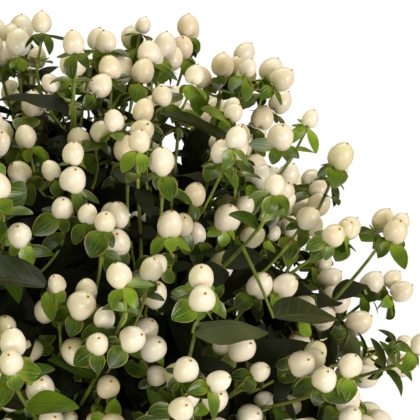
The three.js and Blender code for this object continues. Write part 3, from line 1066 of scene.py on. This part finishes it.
# %% Large leaves that would stand out of the crown stay shorter
LEAF_EDGE = 0.9  # large leaves end at this share of the crown
SHORTEST = 0.45
SWELL_GAIN = 1.5  # how much more the leaves follow a swell of the crown than the side sprays do
foot_shares = crown_share(leaves["root"])
tip_shares = crown_share(leaves["root"] + leaves["along"] * leaves["length"][:, None])
crown_edge = LEAF_EDGE + SWELL_GAIN * unevenness(leaves["root"])[0]
fitting = (crown_edge - foot_shares) / np.maximum(tip_shares - foot_shares, 0.01)
too_long = (leaves["kind"] == LARGE) & (tip_shares > crown_edge) & (leaves["root"][:, 2] > CROWN_MIDDLE)
leaves["length"][too_long] *= np.clip(fitting[too_long], SHORTEST, 1)
print("leaves dealt:", len(leaves["root"]), "of which shortened:", int(too_long.sum()))

# %% Twigs of the long leaves
LEAF_TWIG_RADII = (0.75, 0.5)  # mm


def leaf_twig_batch(masses):
    chosen = np.flatnonzero(np.isin(long_masses, masses))
    return tubes(lines_of(some(leaf_twigs, chosen), 6), taper(*LEAF_TWIG_RADII, 6) * MM, 6, TWIG_GREEN)


# %% Shape the leaves
LEAF_ROWS = 13
LEAF_COLUMNS = (-1, -0.55, 0, 0.55, 1)
LEAF_THICK = 0.3 * MM


def shape_leaves(chosen):
    """Corners of the chosen leaves, their normals, and the corners' places on the leaf."""
    length = leaves["length"][chosen]
    in_hollow = leaves["kind"][chosen] == LONG
    upward = np.where(leaves["facing"][chosen][:, 2] > 0, 1, -1)  # one that is turned over hangs down too
    count = len(length)
    return blades(
        leaves["root"][chosen],
        leaves["along"][chosen],
        leaves["facing"][chosen],
        length,
        length * rng.uniform(0.42, 0.52, count),
        arch=rng.uniform(0.3, 0.9, count) * upward,
        fold=rng.uniform(0.12, 0.42, count),
        rows=LEAF_ROWS,
        columns=LEAF_COLUMNS,
        blunt=np.where(in_hollow, 0.85, 0.76),
        wave=rng.uniform(0.01, 0.035, count),
    )


SHELTER_SHARES = (0.7, 0.88)  # how far out large leaves may reach at the crown's middle
SHELTER_GAIN = 0.14  # and how much further at its top


def sheltered(points, kind):
    """True for large leaves that stay inside the crown or hang in its skirt, and for all other leaves."""
    corners = points.reshape(-1, 3)
    furthest = crown_share(corners).reshape(points.shape[:2]).max(axis=1)
    low = points[:, 0, 2] < CROWN_MIDDLE - BELOW_HEIGHT / 2
    upper = np.clip((points[:, 0, 2] - CROWN_MIDDLE) / ABOVE_HEIGHT, 0, 1)
    limit = rng.uniform(*SHELTER_SHARES, len(points)) + SHELTER_GAIN * upper
    limit += SWELL_GAIN * unevenness(points[:, 0])[0]
    return (kind != LARGE) | (furthest < limit) | low


# %% Finishes of the leaves
# Painted shade: leaves deep in the crown take the near-black leaf finish instead of the green one
LIT_FROM = 0.63  # leaves further in than this are dark
LIT_OVER = 0.3  # and over this much further out more and more of them are green
LIT_ODDS = (0.05, 0.85)
FRESH_ODDS = 0.12
OLD_ODDS = 0.5


def leaf_batches(masses):
    """Two layers for each leaf, so that its paler underside has a finish of its own."""
    chosen = np.flatnonzero(np.isin(leaves["mass"], masses))
    points, normals, spots = shape_leaves(chosen)
    kept = clear(points) & sheltered(points, leaves["kind"][chosen])
    chosen, points, normals = chosen[kept], points[kept], normals[kept]
    inner = 1 - (spots[:, 1] * 2 - 1) ** 2
    lower = points - normals * (LEAF_THICK * inner)[:, None]
    tint = rng.random(len(chosen))
    kind = leaves["kind"][chosen]
    # painted shade: the further in a leaf lies, the likelier it takes the near-black finish instead of the
    # green one
    lit = (crown_share(points[:, points.shape[1] // 2]) - LIT_FROM) / LIT_OVER
    top = np.where(tint < np.clip(lit, *LIT_ODDS), LEAF_MID, LEAF_PAINTED_SHADE)
    top = np.where((kind == SMALL) & (tint < FRESH_ODDS), LEAF_FRESH, top)
    top = np.where((kind == LONG) & (tint < OLD_ODDS), LEAF_OLD, top)
    faces = blade_faces(LEAF_ROWS, len(LEAF_COLUMNS))
    print("leaves kept:", len(chosen))
    return [
        batch(points, faces, top[:, None], spots),
        batch(lower, faces[:, ::-1], UNDERSIDE, spots),
    ]


# %% Bracts under the forks, and small leaves on the side twigs
BRACT_ROWS = 6
BRACT_LENGTHS = (7, 13)  # mm, of a seat of size 1
BRACT_ODDS = 0.75
SMALL_LEAF_ODDS = 0.47
# Painted shade: bracts and small leaves further in take a dark copy of their finish
BRACT_PAINTED_SHADE = (0.7, 0.93)  # blades further in than such a share are dark
EDGED_COLUMNS = (-1, -0.9, 0, 0.9, 1)
seat_points, seat_ways, seat_sides, seat_scale, seat_sprays = map(np.array, zip(*bract_seats))


def bract_batches(masses):
    chosen = np.flatnonzero(np.isin(spray_masses[seat_sprays], masses))
    made = []
    for hand in (1, -1):
        count = len(chosen)
        out = seat_sides[chosen] * hand
        lift = seat_ways[chosen] * rng.uniform(0.1, 0.6, (count, 1))
        along = unit(out + lift + rng.normal(0, 0.1, (count, 3)))
        length = rng.uniform(*BRACT_LENGTHS, count) * MM * seat_scale[chosen]
        points, _, spots = blades(
            seat_points[chosen],
            along,
            unit(seat_ways[chosen] + 0.3 * UP),
            length,
            length * rng.uniform(0.48, 0.66, count),
            arch=rng.uniform(0.3, 1.2, count),
            fold=rng.uniform(0.1, 0.45, count),
            rows=BRACT_ROWS,
            columns=EDGED_COLUMNS,
            early=0.8,
            blunt=0.7,
        )
        on_twig = seat_scale[chosen] > 1
        kept = clear(points) & (rng.random(count) < np.where(on_twig, SMALL_LEAF_ODDS, BRACT_ODDS))
        points = points[kept]
        # painted shade: bracts further in take the dark sepal finish, and small leaves the near-black leaf
        # finish
        outer = crown_share(points[:, 0]) > rng.uniform(*BRACT_PAINTED_SHADE, len(points))
        inside = np.where(outer, SEPAL_GREEN, SEPAL_PAINTED_SHADE)
        inside = np.where(on_twig[kept], np.where(outer, LEAF_MID, LEAF_PAINTED_SHADE), inside)
        pattern = blade_finish(BRACT_ROWS, len(EDGED_COLUMNS), 0, 1)
        finish = np.where((pattern == 1) & ~on_twig[kept][:, None], MARGIN, inside[:, None])
        made.append(batch(points, blade_faces(BRACT_ROWS, len(EDGED_COLUMNS)), finish, spots))
    return made


# %% [markdown]
# ## Sepals
#
# Five sepals stay under each berry, two of them as large as small leaves, and bend back from it.
# They are what makes the fruit of this shrub more than a bead on a wire. Each turns two fifths of
# the way round from the one before, as the real ones do, and has a thin yellowish or reddish edge.

# %% Five sepals under each berry
SEPAL_ROWS = 6
SEPAL_LENGTHS = np.array([10.8, 9.6, 8.0, 6.6, 6.9]) * MM
SEPAL_TURN = 0.8  # in half turns, from one sepal to the next
berry_turns = rng.uniform(0, 2 * math.pi, len(berry_spots))
YOUNG_ODDS = 0.2
SEPAL_PAINTED_SHADE_SHARES = (0.83, 1.07)
MOST_IN_OTHERS = 0.08  # share of a sepal's corners that may lie inside other berries
young = rng.random(len(berry_spots)) < YOUNG_ODDS
# Painted shade: sepals of berries further in than these shares take the dark copy of the sepal finish
painted_shade_limits = rng.uniform(*SEPAL_PAINTED_SHADE_SHARES, len(berry_spots))  # sepals further in are dark


def sepal_batches(berries):
    made = []
    count = len(berries)
    way = berry_ways[berries]
    faces = blade_faces(SEPAL_ROWS, len(EDGED_COLUMNS))
    pattern = blade_finish(SEPAL_ROWS, len(EDGED_COLUMNS), 0, 1)
    for order, size in enumerate(SEPAL_LENGTHS):
        turn = berry_turns[berries] + order * SEPAL_TURN * math.pi
        out = square_to(way, turn + rng.normal(0, 0.15, count))
        fall = rng.uniform(0.15, 1.25, (count, 1))
        length = size * rng.uniform(0.8, 1.15, count)
        points, _, spots = blades(
            berry_bases[berries] - way * 0.3 * MM + out * 0.7 * MM,
            unit(out - way * fall),
            way,
            length,
            length * rng.uniform(0.64, 0.93, count),
            arch=rng.uniform(-0.5, 0.9, count),
            fold=rng.uniform(0.1, 0.55, count),
            rows=SEPAL_ROWS,
            columns=EDGED_COLUMNS,
            early=0.82,
            blunt=0.72,
        )
        kept = in_berries(points, berries) < MOST_IN_OTHERS
        # painted shade: sepals further in take the dark finish
        outer = crown_share(berry_bases[berries]) > painted_shade_limits[berries]
        inside = np.where(outer, SEPAL_GREEN, SEPAL_PAINTED_SHADE)
        inside = np.where(young[berries], SEPAL_LIME, inside)[kept]
        finish = np.where(pattern == 1, MARGIN, inside[:, None])
        made.append(batch(points[kept], faces, finish, spots))
    return made


# %% [markdown]
# ## Berries
#
# A berry is a blunt egg, widest near its stalk, where three soft lobes meet in a dimple, and it ends
# in the brown remains of the flower's three styles with a touch of orange round them. Its skin is
# ivory and waxy. Light goes a little way in, so the shadows stay warm: that is subsurface
# scattering, with the red part of the light going furthest. An image of the colours would do it
# too, but real lobes and a real tip hold up from every side.

# %% The form of a berry
BERRY_SIDES = 21
ROW_PLACES = np.array([0, 0.09, 0.2, 0.32, 0.44, 0.56, 0.68, 0.79, 0.865, 0.925, 0.965, 1.0])


def berry_pattern():
    """Corners of a berry of width and length 1 that stands on its base, row by row to its tip."""
    climb = ROW_PLACES * math.pi
    turn = np.arange(BERRY_SIDES) * 2 * math.pi / BERRY_SIDES
    height = 0.5 - 0.5 * np.cos(climb)
    girth = np.sin(climb) ** mix(0.8, 1.16, height**2) * (1 + 0.13 * np.cos(climb)) / 2
    crease = (0.5 - 0.5 * np.cos(3 * turn)) ** 2.5
    lobe = 0.045 * np.cos(3 * turn) - 0.1 * crease
    reach = girth[:, None] * (1 + lobe * (1 - height[:, None]) ** 1.3)
    cleft = 0.06 * np.exp(-((girth / 0.16) ** 2)) * (height < 0.5)
    groove = 0.13 * crease * np.exp(-(height / 0.18))[:, None]
    rise = height[:, None] + cleft[:, None] + groove
    rows = np.stack([reach * np.cos(turn), reach * np.sin(turn), rise], axis=-1)
    base = rows[0, :1] * [0, 0, 1]
    tip = rows[-1, :1] * [0, 0, 1]
    return np.concatenate([base, rows[1:-1].reshape(-1, 3), tip])


berry_faces = capped_faces(len(ROW_PLACES) - 2, BERRY_SIDES)
to_end = len(berry_faces) - np.arange(len(berry_faces))
on_tip = to_end <= BERRY_SIDES
near_tip = to_end <= 3 * BERRY_SIDES  # the band round the tip too
print("triangles of a berry:", len(berry_faces))


# %% Berry skin
def berry_skin(name, light, dark):
    """Waxy skin: a pale tone that drifts to a warmer one, a dull coat and warm scattered light."""
    finish = Finish(
        name,
        subsurface_weight=0.35,
        subsurface_radius=(1.0, 0.82, 0.4),
        subsurface_scale=2.2 * MM,
        coat_weight=0.35,
        coat_roughness=0.22,
    )
    drift = contrast(finish.noise(11 * MM, 1.0), 0.32, 0.72)
    finish.plug("Base Color", finish.blend(drift, light, dark))
    finish.plug("Roughness", finish.noise(2.5 * MM) * 0.12 + 0.3)
    finish.bump(finish.noise(1.6 * MM), 0.05 * MM, 0.4)
    return number_of(finish.material)


IVORY = berry_skin("berry_ivory", (0.89, 0.83, 0.78), (0.82, 0.73, 0.6))
CREAM = berry_skin("berry_cream", (0.87, 0.775, 0.64), (0.79, 0.665, 0.5))
GREENISH = berry_skin("berry_greenish", (0.84, 0.79, 0.58), (0.75, 0.69, 0.45))
BLUSH = berry_skin("berry_blush", (0.88, 0.745, 0.65), (0.81, 0.65, 0.54))
HALO = berry_skin("berry_halo", (0.87, 0.7, 0.37), (0.82, 0.6, 0.28))
AMBER = berry_skin("berry_amber", (0.62, 0.33, 0.07), (0.5, 0.22, 0.04))

style_finish = Finish("style_brown", roughness=0.7)
flecks = style_finish.noise(1 * MM)
style_finish.plug("Base Color", style_finish.blend(flecks, (0.13, 0.05, 0.015), (0.26, 0.12, 0.035)))
STYLE = number_of(style_finish.material)

TINTS = [IVORY, CREAM, GREENISH, BLUSH]
TINT_ODDS = [0.74, 0.17, 0.04, 0.05]
spray_tints = rng.choice(TINTS, len(spray_tips), p=TINT_ODDS)
LIKE_SPRAY_ODDS = 0.75
like_spray = rng.random(len(berry_spots)) < LIKE_SPRAY_ODDS
berry_tints = np.where(like_spray, spray_tints[berry_sprays], IVORY)

# %% Place the berries
berry_first = square_to(berry_ways, berry_turns)
berry_second = np.cross(berry_ways, berry_first)


def placed(pattern, berries):
    """Copies of a pattern on berries: x and y in widths of each, and z in lengths from its base."""
    x, y, z = (pattern[None, :, i, None] for i in range(3))
    wide = berry_widths[berries][:, None, None]
    tall = berry_lengths[berries][:, None, None]
    first, second, way = (v[berries][:, None] for v in (berry_first, berry_second, berry_ways))
    return berry_bases[berries][:, None] + (first * x + second * y) * wide + way * z * tall


def berry_batch(berries):
    finish = np.where(near_tip, np.where(on_tip, AMBER, HALO), berry_tints[berries][:, None])
    return batch(placed(berry_pattern(), berries), berry_faces, finish)


# %% The remains of the styles
def style_batches(berries):
    """Three short prongs that bend apart, on each berry's tip."""
    made = []
    for prong in range(3):
        turn = prong * 2 * math.pi / 3
        foot = np.array([0.01 * math.cos(turn), 0.01 * math.sin(turn), 0.98])
        bend = np.array([0.02 * math.cos(turn), 0.02 * math.sin(turn), 1.01])
        end = np.array([0.045 * math.cos(turn), 0.045 * math.sin(turn), 1.022])
        lines = placed(np.stack([foot, bend, end]), berries)
        made.append(tubes(lines, np.array([0.34, 0.26, 0.09]) * MM, 4, STYLE))
    return made


# %% Crown pieces, one set for each layer of masses
LAYERS = {"top": ("top", "upper"), "middle": ("middle",), "skirt": ("skirt",)}
fork_sprays = seat_sprays[seat_scale < 1.0]
berry_masses = spray_masses[berry_sprays]
for layer, rings in LAYERS.items():
    masses = np.flatnonzero(np.isin(mass_rings, rings))
    berries = np.flatnonzero(np.isin(berry_masses, masses))
    shoots = np.flatnonzero(np.isin(shoot_masses, masses))
    sprays = grown[np.isin(spray_masses[grown], masses)]
    between = np.flatnonzero(np.isin(spray_masses[fork_sprays], masses))
    nodes = [f"foliage_{mass_names[m]}" for m in masses]
    make_piece(f"leaves_{layer}", leaf_batches(masses) + bract_batches(masses), nodes)
    limbs = limb_batches(shoots, sprays, berries, between) + [leaf_twig_batch(masses)]
    make_piece(f"twigs_{layer}", limbs, nodes)
    make_piece(f"sepals_{layer}", sepal_batches(berries), nodes)
    make_piece(f"berries_{layer}", [berry_batch(berries)], nodes)
    make_piece(f"styles_{layer}", style_batches(berries), nodes)

# %% [markdown]
# ## Stems
#
# The stems are half woody: green and smooth above, brown with fine lengthwise cracks near the
# compost, a little thicker at each old pair of leaves, and flared at the foot. The relief is in the
# mesh, because the outline of a stem shows it, and the cracks are a bump, because they are finer
# than the mesh could hold.

# %% Stem bark
bark = Finish("old_bark", roughness=0.75)
cracks = contrast(bark.noise(1.1 * MM, 4.0), 0.42, 0.62)
bark.plug("Base Color", bark.blend(cracks, (0.13, 0.075, 0.035), (0.055, 0.032, 0.018)))
bark.bump(cracks, 0.3 * MM, 0.8)
OLD_BARK = number_of(bark.material)

# %% Curves of the stems
STEM_STEPS = 48
STEM_SIDES = 14
STEM_LEAN = 0.55
FLARE = 4.4 * MM
FLARE_HEIGHT = 5 * MM
STEM_FOOT = 2.9 * MM
STEM_TIP = 1.6 * MM
NODE_SPACING = 23 * MM
NODE_LENGTH = 1.6 * MM
NODE_SWELLING = 0.16
RIDGE_HEIGHT = 0.09  # mm
BUMP_HEIGHT = 0.05  # mm
handle = STEM_LEAN * np.linalg.norm(stem_tips - mass_feet, axis=1)[:, None]
corners = [mass_feet, mass_feet + UP * handle, stem_tips - mass_ways * handle / 2, stem_tips]
t = np.linspace(0, 1, STEM_STEPS)[:, None]
weights = [(1 - t) ** 3, 3 * t * (1 - t) ** 2, 3 * t**2 * (1 - t), t**3]
stem_lines = sum(corner[:, None] * weight for corner, weight in zip(corners, weights))
stem_lines = np.concatenate([stem_lines[:, :1] - UP * 3 * MM, stem_lines, leader_tips[:, None]], axis=1)

# %% Relief and finishes of the stems
steps = np.diff(stem_lines, axis=1, prepend=stem_lines[:, :1])
climbed = np.cumsum(np.linalg.norm(steps, axis=2), axis=1)
share = np.linspace(0, 1, STEM_STEPS + 2)
swelling = NODE_SWELLING * np.exp(-((climbed % NODE_SPACING - NODE_SPACING / 2) / NODE_LENGTH) ** 2)
flare = (FLARE - STEM_FOOT) * np.exp(-climbed / FLARE_HEIGHT)
stem_radii = (mix(STEM_FOOT, STEM_TIP, share) * (1 + swelling) + flare) * np.where(share < 1, 1, 0.5)
stem_batch = tubes(stem_lines, stem_radii, STEM_SIDES, TWIG_GREEN)
relief = unit(stem_batch["points"] - np.repeat(stem_lines.reshape(-1, 3), STEM_SIDES, axis=0))
two_ridges = np.cos(np.arange(STEM_SIDES) * 4 * math.pi / STEM_SIDES)
ridges = np.tile(two_ridges, stem_lines.shape[0] * stem_lines.shape[1])
outward = ridges * RIDGE_HEIGHT + rng.normal(0, BUMP_HEIGHT, len(ridges))
stem_batch["points"] += relief * outward[:, None] * MM
woody_until = COMPOST_TOP + rng.uniform(18, 45, len(mass_names)) * MM
stem_of_face = np.arange(len(stem_batch["faces"])) // (len(stem_batch["faces"]) // len(mass_names))
face_heights = stem_batch["points"][stem_batch["faces"][:, 0], 2]
stem_batch["finish"] = np.where(face_heights < woody_until[stem_of_face], OLD_BARK, TWIG_GREEN)
make_piece("stems", [stem_batch], [f"stem_{name}" for name in mass_names])

# %% [markdown]
# ## The clay pot
#
# A plain flowerpot is turned or pressed clay: a tapering wall, a thick band for a rim, four drain
# holes and a matt, porous skin. It is a lathe form, one outline turned about the upright axis, with
# rounded edges that catch the light. The pale bloom low on the wall is lime from the water that
# dries out through the clay, and faint rings tell how it was turned.

# %% The pot's outline
POT_SIDES = 96
FOOT_RADIUS = 49 * MM
BODY_TOP_RADIUS = 66 * MM
RIM_HEIGHT = 27 * MM
WALL = 6.5 * MM
POT_FLOOR = 9 * MM
LIP = 2.2 * MM  # how far back from a corner its rounding starts
EDGE_STEPS = 4
DRAIN_COUNT = 4
DRAIN_RADIUS = 4.5 * MM
DRAIN_CIRCLE = 26 * MM
BAND = POT_HEIGHT - RIM_HEIGHT
POT_SLOPE = (BODY_TOP_RADIUS - FOOT_RADIUS) / BAND


def inner_radius(height):
    return FOOT_RADIUS + POT_SLOPE * height - WALL


def rounded(corner, before, after, radius):
    """Points that round a corner of an outline off, from the side of one neighbour to the other's."""
    corner, before, after = (np.array(p) for p in (corner, before, after))
    start = corner + unit(before - corner) * radius
    end = corner + unit(after - corner) * radius
    shares = np.linspace(0, 1, EDGE_STEPS + 1)[:, None]
    return list(start * (1 - shares) ** 2 + corner * 2 * shares * (1 - shares) + end * shares**2)


def pot_outline():
    corners = [
        (0.0, 0.0),
        (FOOT_RADIUS, 0.0),
        (BODY_TOP_RADIUS, BAND),
        (RIM_RADIUS, BAND),
        (RIM_RADIUS, POT_HEIGHT),
        (inner_radius(POT_HEIGHT), POT_HEIGHT),
        (inner_radius(POT_FLOOR), POT_FLOOR),
        (0.0, POT_FLOOR),
    ]
    outline_points = [np.array(corners[0])]
    for before, corner, after in zip(corners, corners[1:], corners[2:]):
        outline_points += rounded(corner, before, after, LIP)
    outline_points.append(np.array(corners[-1]))
    return fill_in(np.array(outline_points), 5 * MM)


def fill_in(points, longest):
    """Adds points to the long straight stretches of an outline."""
    filled = [points[:1]]
    for start, end in zip(points, points[1:]):
        pieces = max(1, math.ceil(np.linalg.norm(end - start) / longest))
        filled.append(start + (end - start) * np.linspace(0, 1, pieces + 1)[1:, None])
    return np.concatenate(filled)


# %% Clay
clay = Finish("pot_clay", roughness=0.85)
height = clay.node("ShaderNodeSeparateXYZ", None, {0: clay.node("ShaderNodeTexCoord", output="Object")}, 2)
mottle = contrast(clay.noise(28 * MM, 4.0), 0.35, 0.7)
fired = clay.blend(mottle, (0.56, 0.235, 0.12), (0.43, 0.165, 0.08))
low_down = 1 - contrast(height, 5 * MM, 75 * MM)
bloom = contrast(clay.noise(16 * MM, 5.0) + low_down * 0.22, 0.6, 0.82) * 0.42
clay.plug("Base Color", clay.blend(bloom, fired, (0.66, 0.5, 0.4)))
clay.plug("Roughness", clay.noise(6 * MM) * 0.12 + 0.76)
turning = (height * (2 * math.pi / (2.4 * MM)) + clay.noise(20 * MM) * 3).math("SINE")
clay.bump(turning * 0.12 + clay.noise(0.9 * MM, 3.0), 0.35 * MM, 0.6)
CLAY = number_of(clay.material)


# %% Turn the pot and drill its drain holes
def turned(profile, sides, finish):
    """An outline of (radius, height) points that starts and ends on the axis, turned about it."""
    turn = np.arange(sides) * 2 * math.pi / sides
    rows = profile[1:-1]
    radius, rise = rows[:, :1], rows[:, 1:]
    body = np.stack([radius * np.cos(turn), radius * np.sin(turn), rise + 0 * turn], axis=-1).reshape(-1, 3)
    start = [[0, 0, profile[0, 1]]]
    end = [[0, 0, profile[-1, 1]]]
    points = np.concatenate([start, body, end])
    return batch(points[None], capped_faces(len(rows), sides), finish)


def drill(piece, spots, radius, depth):
    """Cuts upright round holes with a Boolean modifier, and applies it."""
    for spot in spots:
        bpy.ops.mesh.primitive_cylinder_add(vertices=28, radius=radius, depth=depth, location=spot)
        cutter = bpy.context.object
        cut = piece.modifiers.new("hole", "BOOLEAN")
        cut.object = cutter
        cut.solver = "EXACT"
        bpy.context.view_layer.objects.active = piece
        bpy.ops.object.modifier_apply(modifier=cut.name)
        bpy.data.objects.remove(cutter)


pot = make_piece("clay_pot", [turned(pot_outline(), POT_SIDES, CLAY)], ["pot"])
drain_turns = [2 * math.pi * (i + 0.5) / DRAIN_COUNT for i in range(DRAIN_COUNT)]
drain_spots = [(DRAIN_CIRCLE * math.cos(a), DRAIN_CIRCLE * math.sin(a), 0) for a in drain_turns]
drill(pot, drain_spots, DRAIN_RADIUS, 3 * POT_FLOOR)
print("pot:", len(pot.data.polygons), "faces after drilling")

# %% [markdown]
# ## Compost
#
# The pot is filled to a finger's width under its rim with dark, crumbly compost. A noisy disc alone
# looks like rough plaster, so hundreds of crumbs of all sizes lie on it and are half sunk in.

# %% Compost and crumbs
def soil(name, light, dark):
    finish = Finish(name, roughness=0.95)
    finish.plug("Base Color", finish.blend(contrast(finish.noise(2.2 * MM, 5.0), 0.35, 0.65), light, dark))
    finish.bump(finish.noise(0.8 * MM, 4.0), 0.5 * MM, 0.9)
    return number_of(finish.material)


COMPOST = soil("compost_dark", (0.045, 0.027, 0.016), (0.016, 0.01, 0.007))
CRUMB = soil("compost_crumb", (0.085, 0.05, 0.028), (0.03, 0.018, 0.011))
COMPOST_SIDES = 72
CRUMB_COUNT = 900


def compost_outline():
    low = POT_FLOOR + 0.3 * MM
    top = inner_radius(COMPOST_TOP) - 0.4 * MM
    across = [(r, COMPOST_TOP) for r in np.linspace(top, 0, 26)]
    return np.array([(0.0, low), (inner_radius(low) - 0.4 * MM, low), *across])


def crumbs(count):
    """Rough lumps of eight faces, more small ones than large."""
    corners = np.array([[1, 0, 0], [0, 1, 0], [-1, 0, 0], [0, -1, 0], [0, 0, 1], [0, 0, -1]])
    ring = np.arange(4)
    faces = np.concatenate([fan_faces(ring, 4), fan_faces(ring, 5, outward=False)])
    radius = (inner_radius(COMPOST_TOP) - 3 * MM) * np.sqrt(rng.random(count))
    turn = rng.uniform(0, 2 * math.pi, count)
    size = 0.6 * MM + 2.0 * MM * rng.random(count) ** 3
    middles = np.stack([radius * np.cos(turn), radius * np.sin(turn), COMPOST_TOP + size * 0.3], axis=-1)
    rough = corners[None] * rng.uniform(0.6, 1.25, (count, 6, 3)) + rng.normal(0, 0.15, (count, 6, 3))
    spin = rng.uniform(0, 2 * math.pi, count)[:, None]
    x = rough[..., 0] * np.cos(spin) - rough[..., 1] * np.sin(spin)
    y = rough[..., 0] * np.sin(spin) + rough[..., 1] * np.cos(spin)
    lumps = np.stack([x, y, rough[..., 2] * 0.8], axis=-1) * size[:, None, None]
    return batch(middles[:, None] + lumps, faces, CRUMB)


bed = turned(compost_outline(), COMPOST_SIDES, COMPOST)
on_top = bed["points"][:, 2] > COMPOST_TOP - 1e-6
bed["points"][on_top, 2] += rng.uniform(-0.9, 0.7, on_top.sum()) * MM
make_piece("compost_bed", [bed, crumbs(CRUMB_COUNT)], ["compost"])

# %% [markdown]
# ## Floor, light and camera
#
# The plant was photographed on white: a large soft light to the front right, one above and behind
# that rims the berries, and a low, weaker one in front. Area lights give such soft edges. The rest is
# dim and warm, as light is that has gone from berry to berry. The floor, a touch blue to make up
# for that, is a pale disc that fades into the white round it, so that it has no edge of its own. The
# camera looks down by fifteen degrees from nearly a metre away with a long lens, at the right
# shoulder of the crown.

# %% Floor
FLOOR_RADIUS = 0.55
FADE = (0.45, 0.98)  # shares of that radius between which the floor fades out
floor_finish = Finish("floor_pale", roughness=0.9)
grain = floor_finish.noise(0.05)
floor_finish.plug("Base Color", floor_finish.blend(grain, (0.74, 0.755, 0.97), (0.71, 0.725, 0.94)))
place = floor_finish.node("ShaderNodeTexCoord", output="Object")
far = floor_finish.node("ShaderNodeVectorMath", {"operation": "LENGTH"}, {0: place}, "Value")
floor_finish.plug("Alpha", 1 - contrast(far, FADE[0] * FLOOR_RADIUS, FADE[1] * FLOOR_RADIUS))
FLOOR_AT = (0, 0, -0.2 * MM)
bpy.ops.mesh.primitive_circle_add(vertices=128, radius=FLOOR_RADIUS, fill_type="NGON", location=FLOOR_AT)
floor = bpy.context.object
floor.name = "floor"
floor.data.materials.append(floor_finish.material)

# %% World: white to the camera, dimmer as a light
AMBIENT = 0.44
BOUNCED_LIGHT = (1, 0.92, 0.3)
world = bpy.data.worlds.new("studio")
bpy.context.scene.world = world
world.use_nodes = True
nodes = world.node_tree.nodes
links = world.node_tree.links
nodes.clear()


def background(colour, strength):
    made = nodes.new("ShaderNodeBackground")
    made.inputs["Color"].default_value = (*colour, 1)
    made.inputs["Strength"].default_value = strength
    return made.outputs[0]


seen = nodes.new("ShaderNodeLightPath").outputs["Is Camera Ray"]
dim = background(BOUNCED_LIGHT, AMBIENT)
white = background((1, 1, 1), 1.02)
either = nodes.new("ShaderNodeMixShader")
out = nodes.new("ShaderNodeOutputWorld")
for socket, source in enumerate((seen, dim, white)):
    links.new(source, either.inputs[socket])
links.new(either.outputs[0], out.inputs["Surface"])


# %% Lights
LIT_SPOT = Vector((0, 0, 0.22))  # where the lights point


def soft_light(name, spot, size, power, colour=(1, 1, 1)):
    lamp = bpy.data.lights.new(name, "AREA")
    lamp.shape = "RECTANGLE"
    lamp.size, lamp.size_y = size
    lamp.energy = power
    lamp.color = colour
    light = bpy.data.objects.new(name, lamp)
    light.location = spot
    light.rotation_euler = (Vector(spot) - LIT_SPOT).to_track_quat("Z", "Y").to_euler()
    light.visible_camera = False
    bpy.context.scene.collection.objects.link(light)


soft_light("key", (1.3, -1.1, 0.5), (0.8, 0.6), 17.2, (1.0, 0.962, 1.02))
soft_light("top", (-0.1, 0.35, 1.35), (1.1, 0.5), 7)
soft_light("low", (-0.25, -1.5, 0.14), (1.0, 0.22), 8)
bpy.context.scene.view_settings.view_transform = "Standard"

# %% Camera
ELEVATION = math.radians(15)
FRAME_WIDTH = 0.168
DISTANCE = 0.9
SENSOR = 36.0
RIGHT_OF_MIDDLE = 60 * MM
ABOVE_MIDDLE = 42 * MM
view_up = Vector((0, math.sin(ELEVATION), math.cos(ELEVATION)))
target = Vector((RIGHT_OF_MIDDLE, 0, CROWN_MIDDLE)) + view_up * ABOVE_MIDDLE
camera_data = bpy.data.cameras.new("camera")
camera_data.sensor_width = SENSOR
camera_data.lens = SENSOR * DISTANCE / FRAME_WIDTH
camera = bpy.data.objects.new("camera", camera_data)
camera.location = target + Vector((0, -math.cos(ELEVATION), math.sin(ELEVATION))) * DISTANCE
camera.rotation_euler = (camera.location - target).to_track_quat("Z", "Y").to_euler()
bpy.context.scene.collection.objects.link(camera)
bpy.context.scene.camera = camera
print("lens, mm:", round(camera_data.lens))
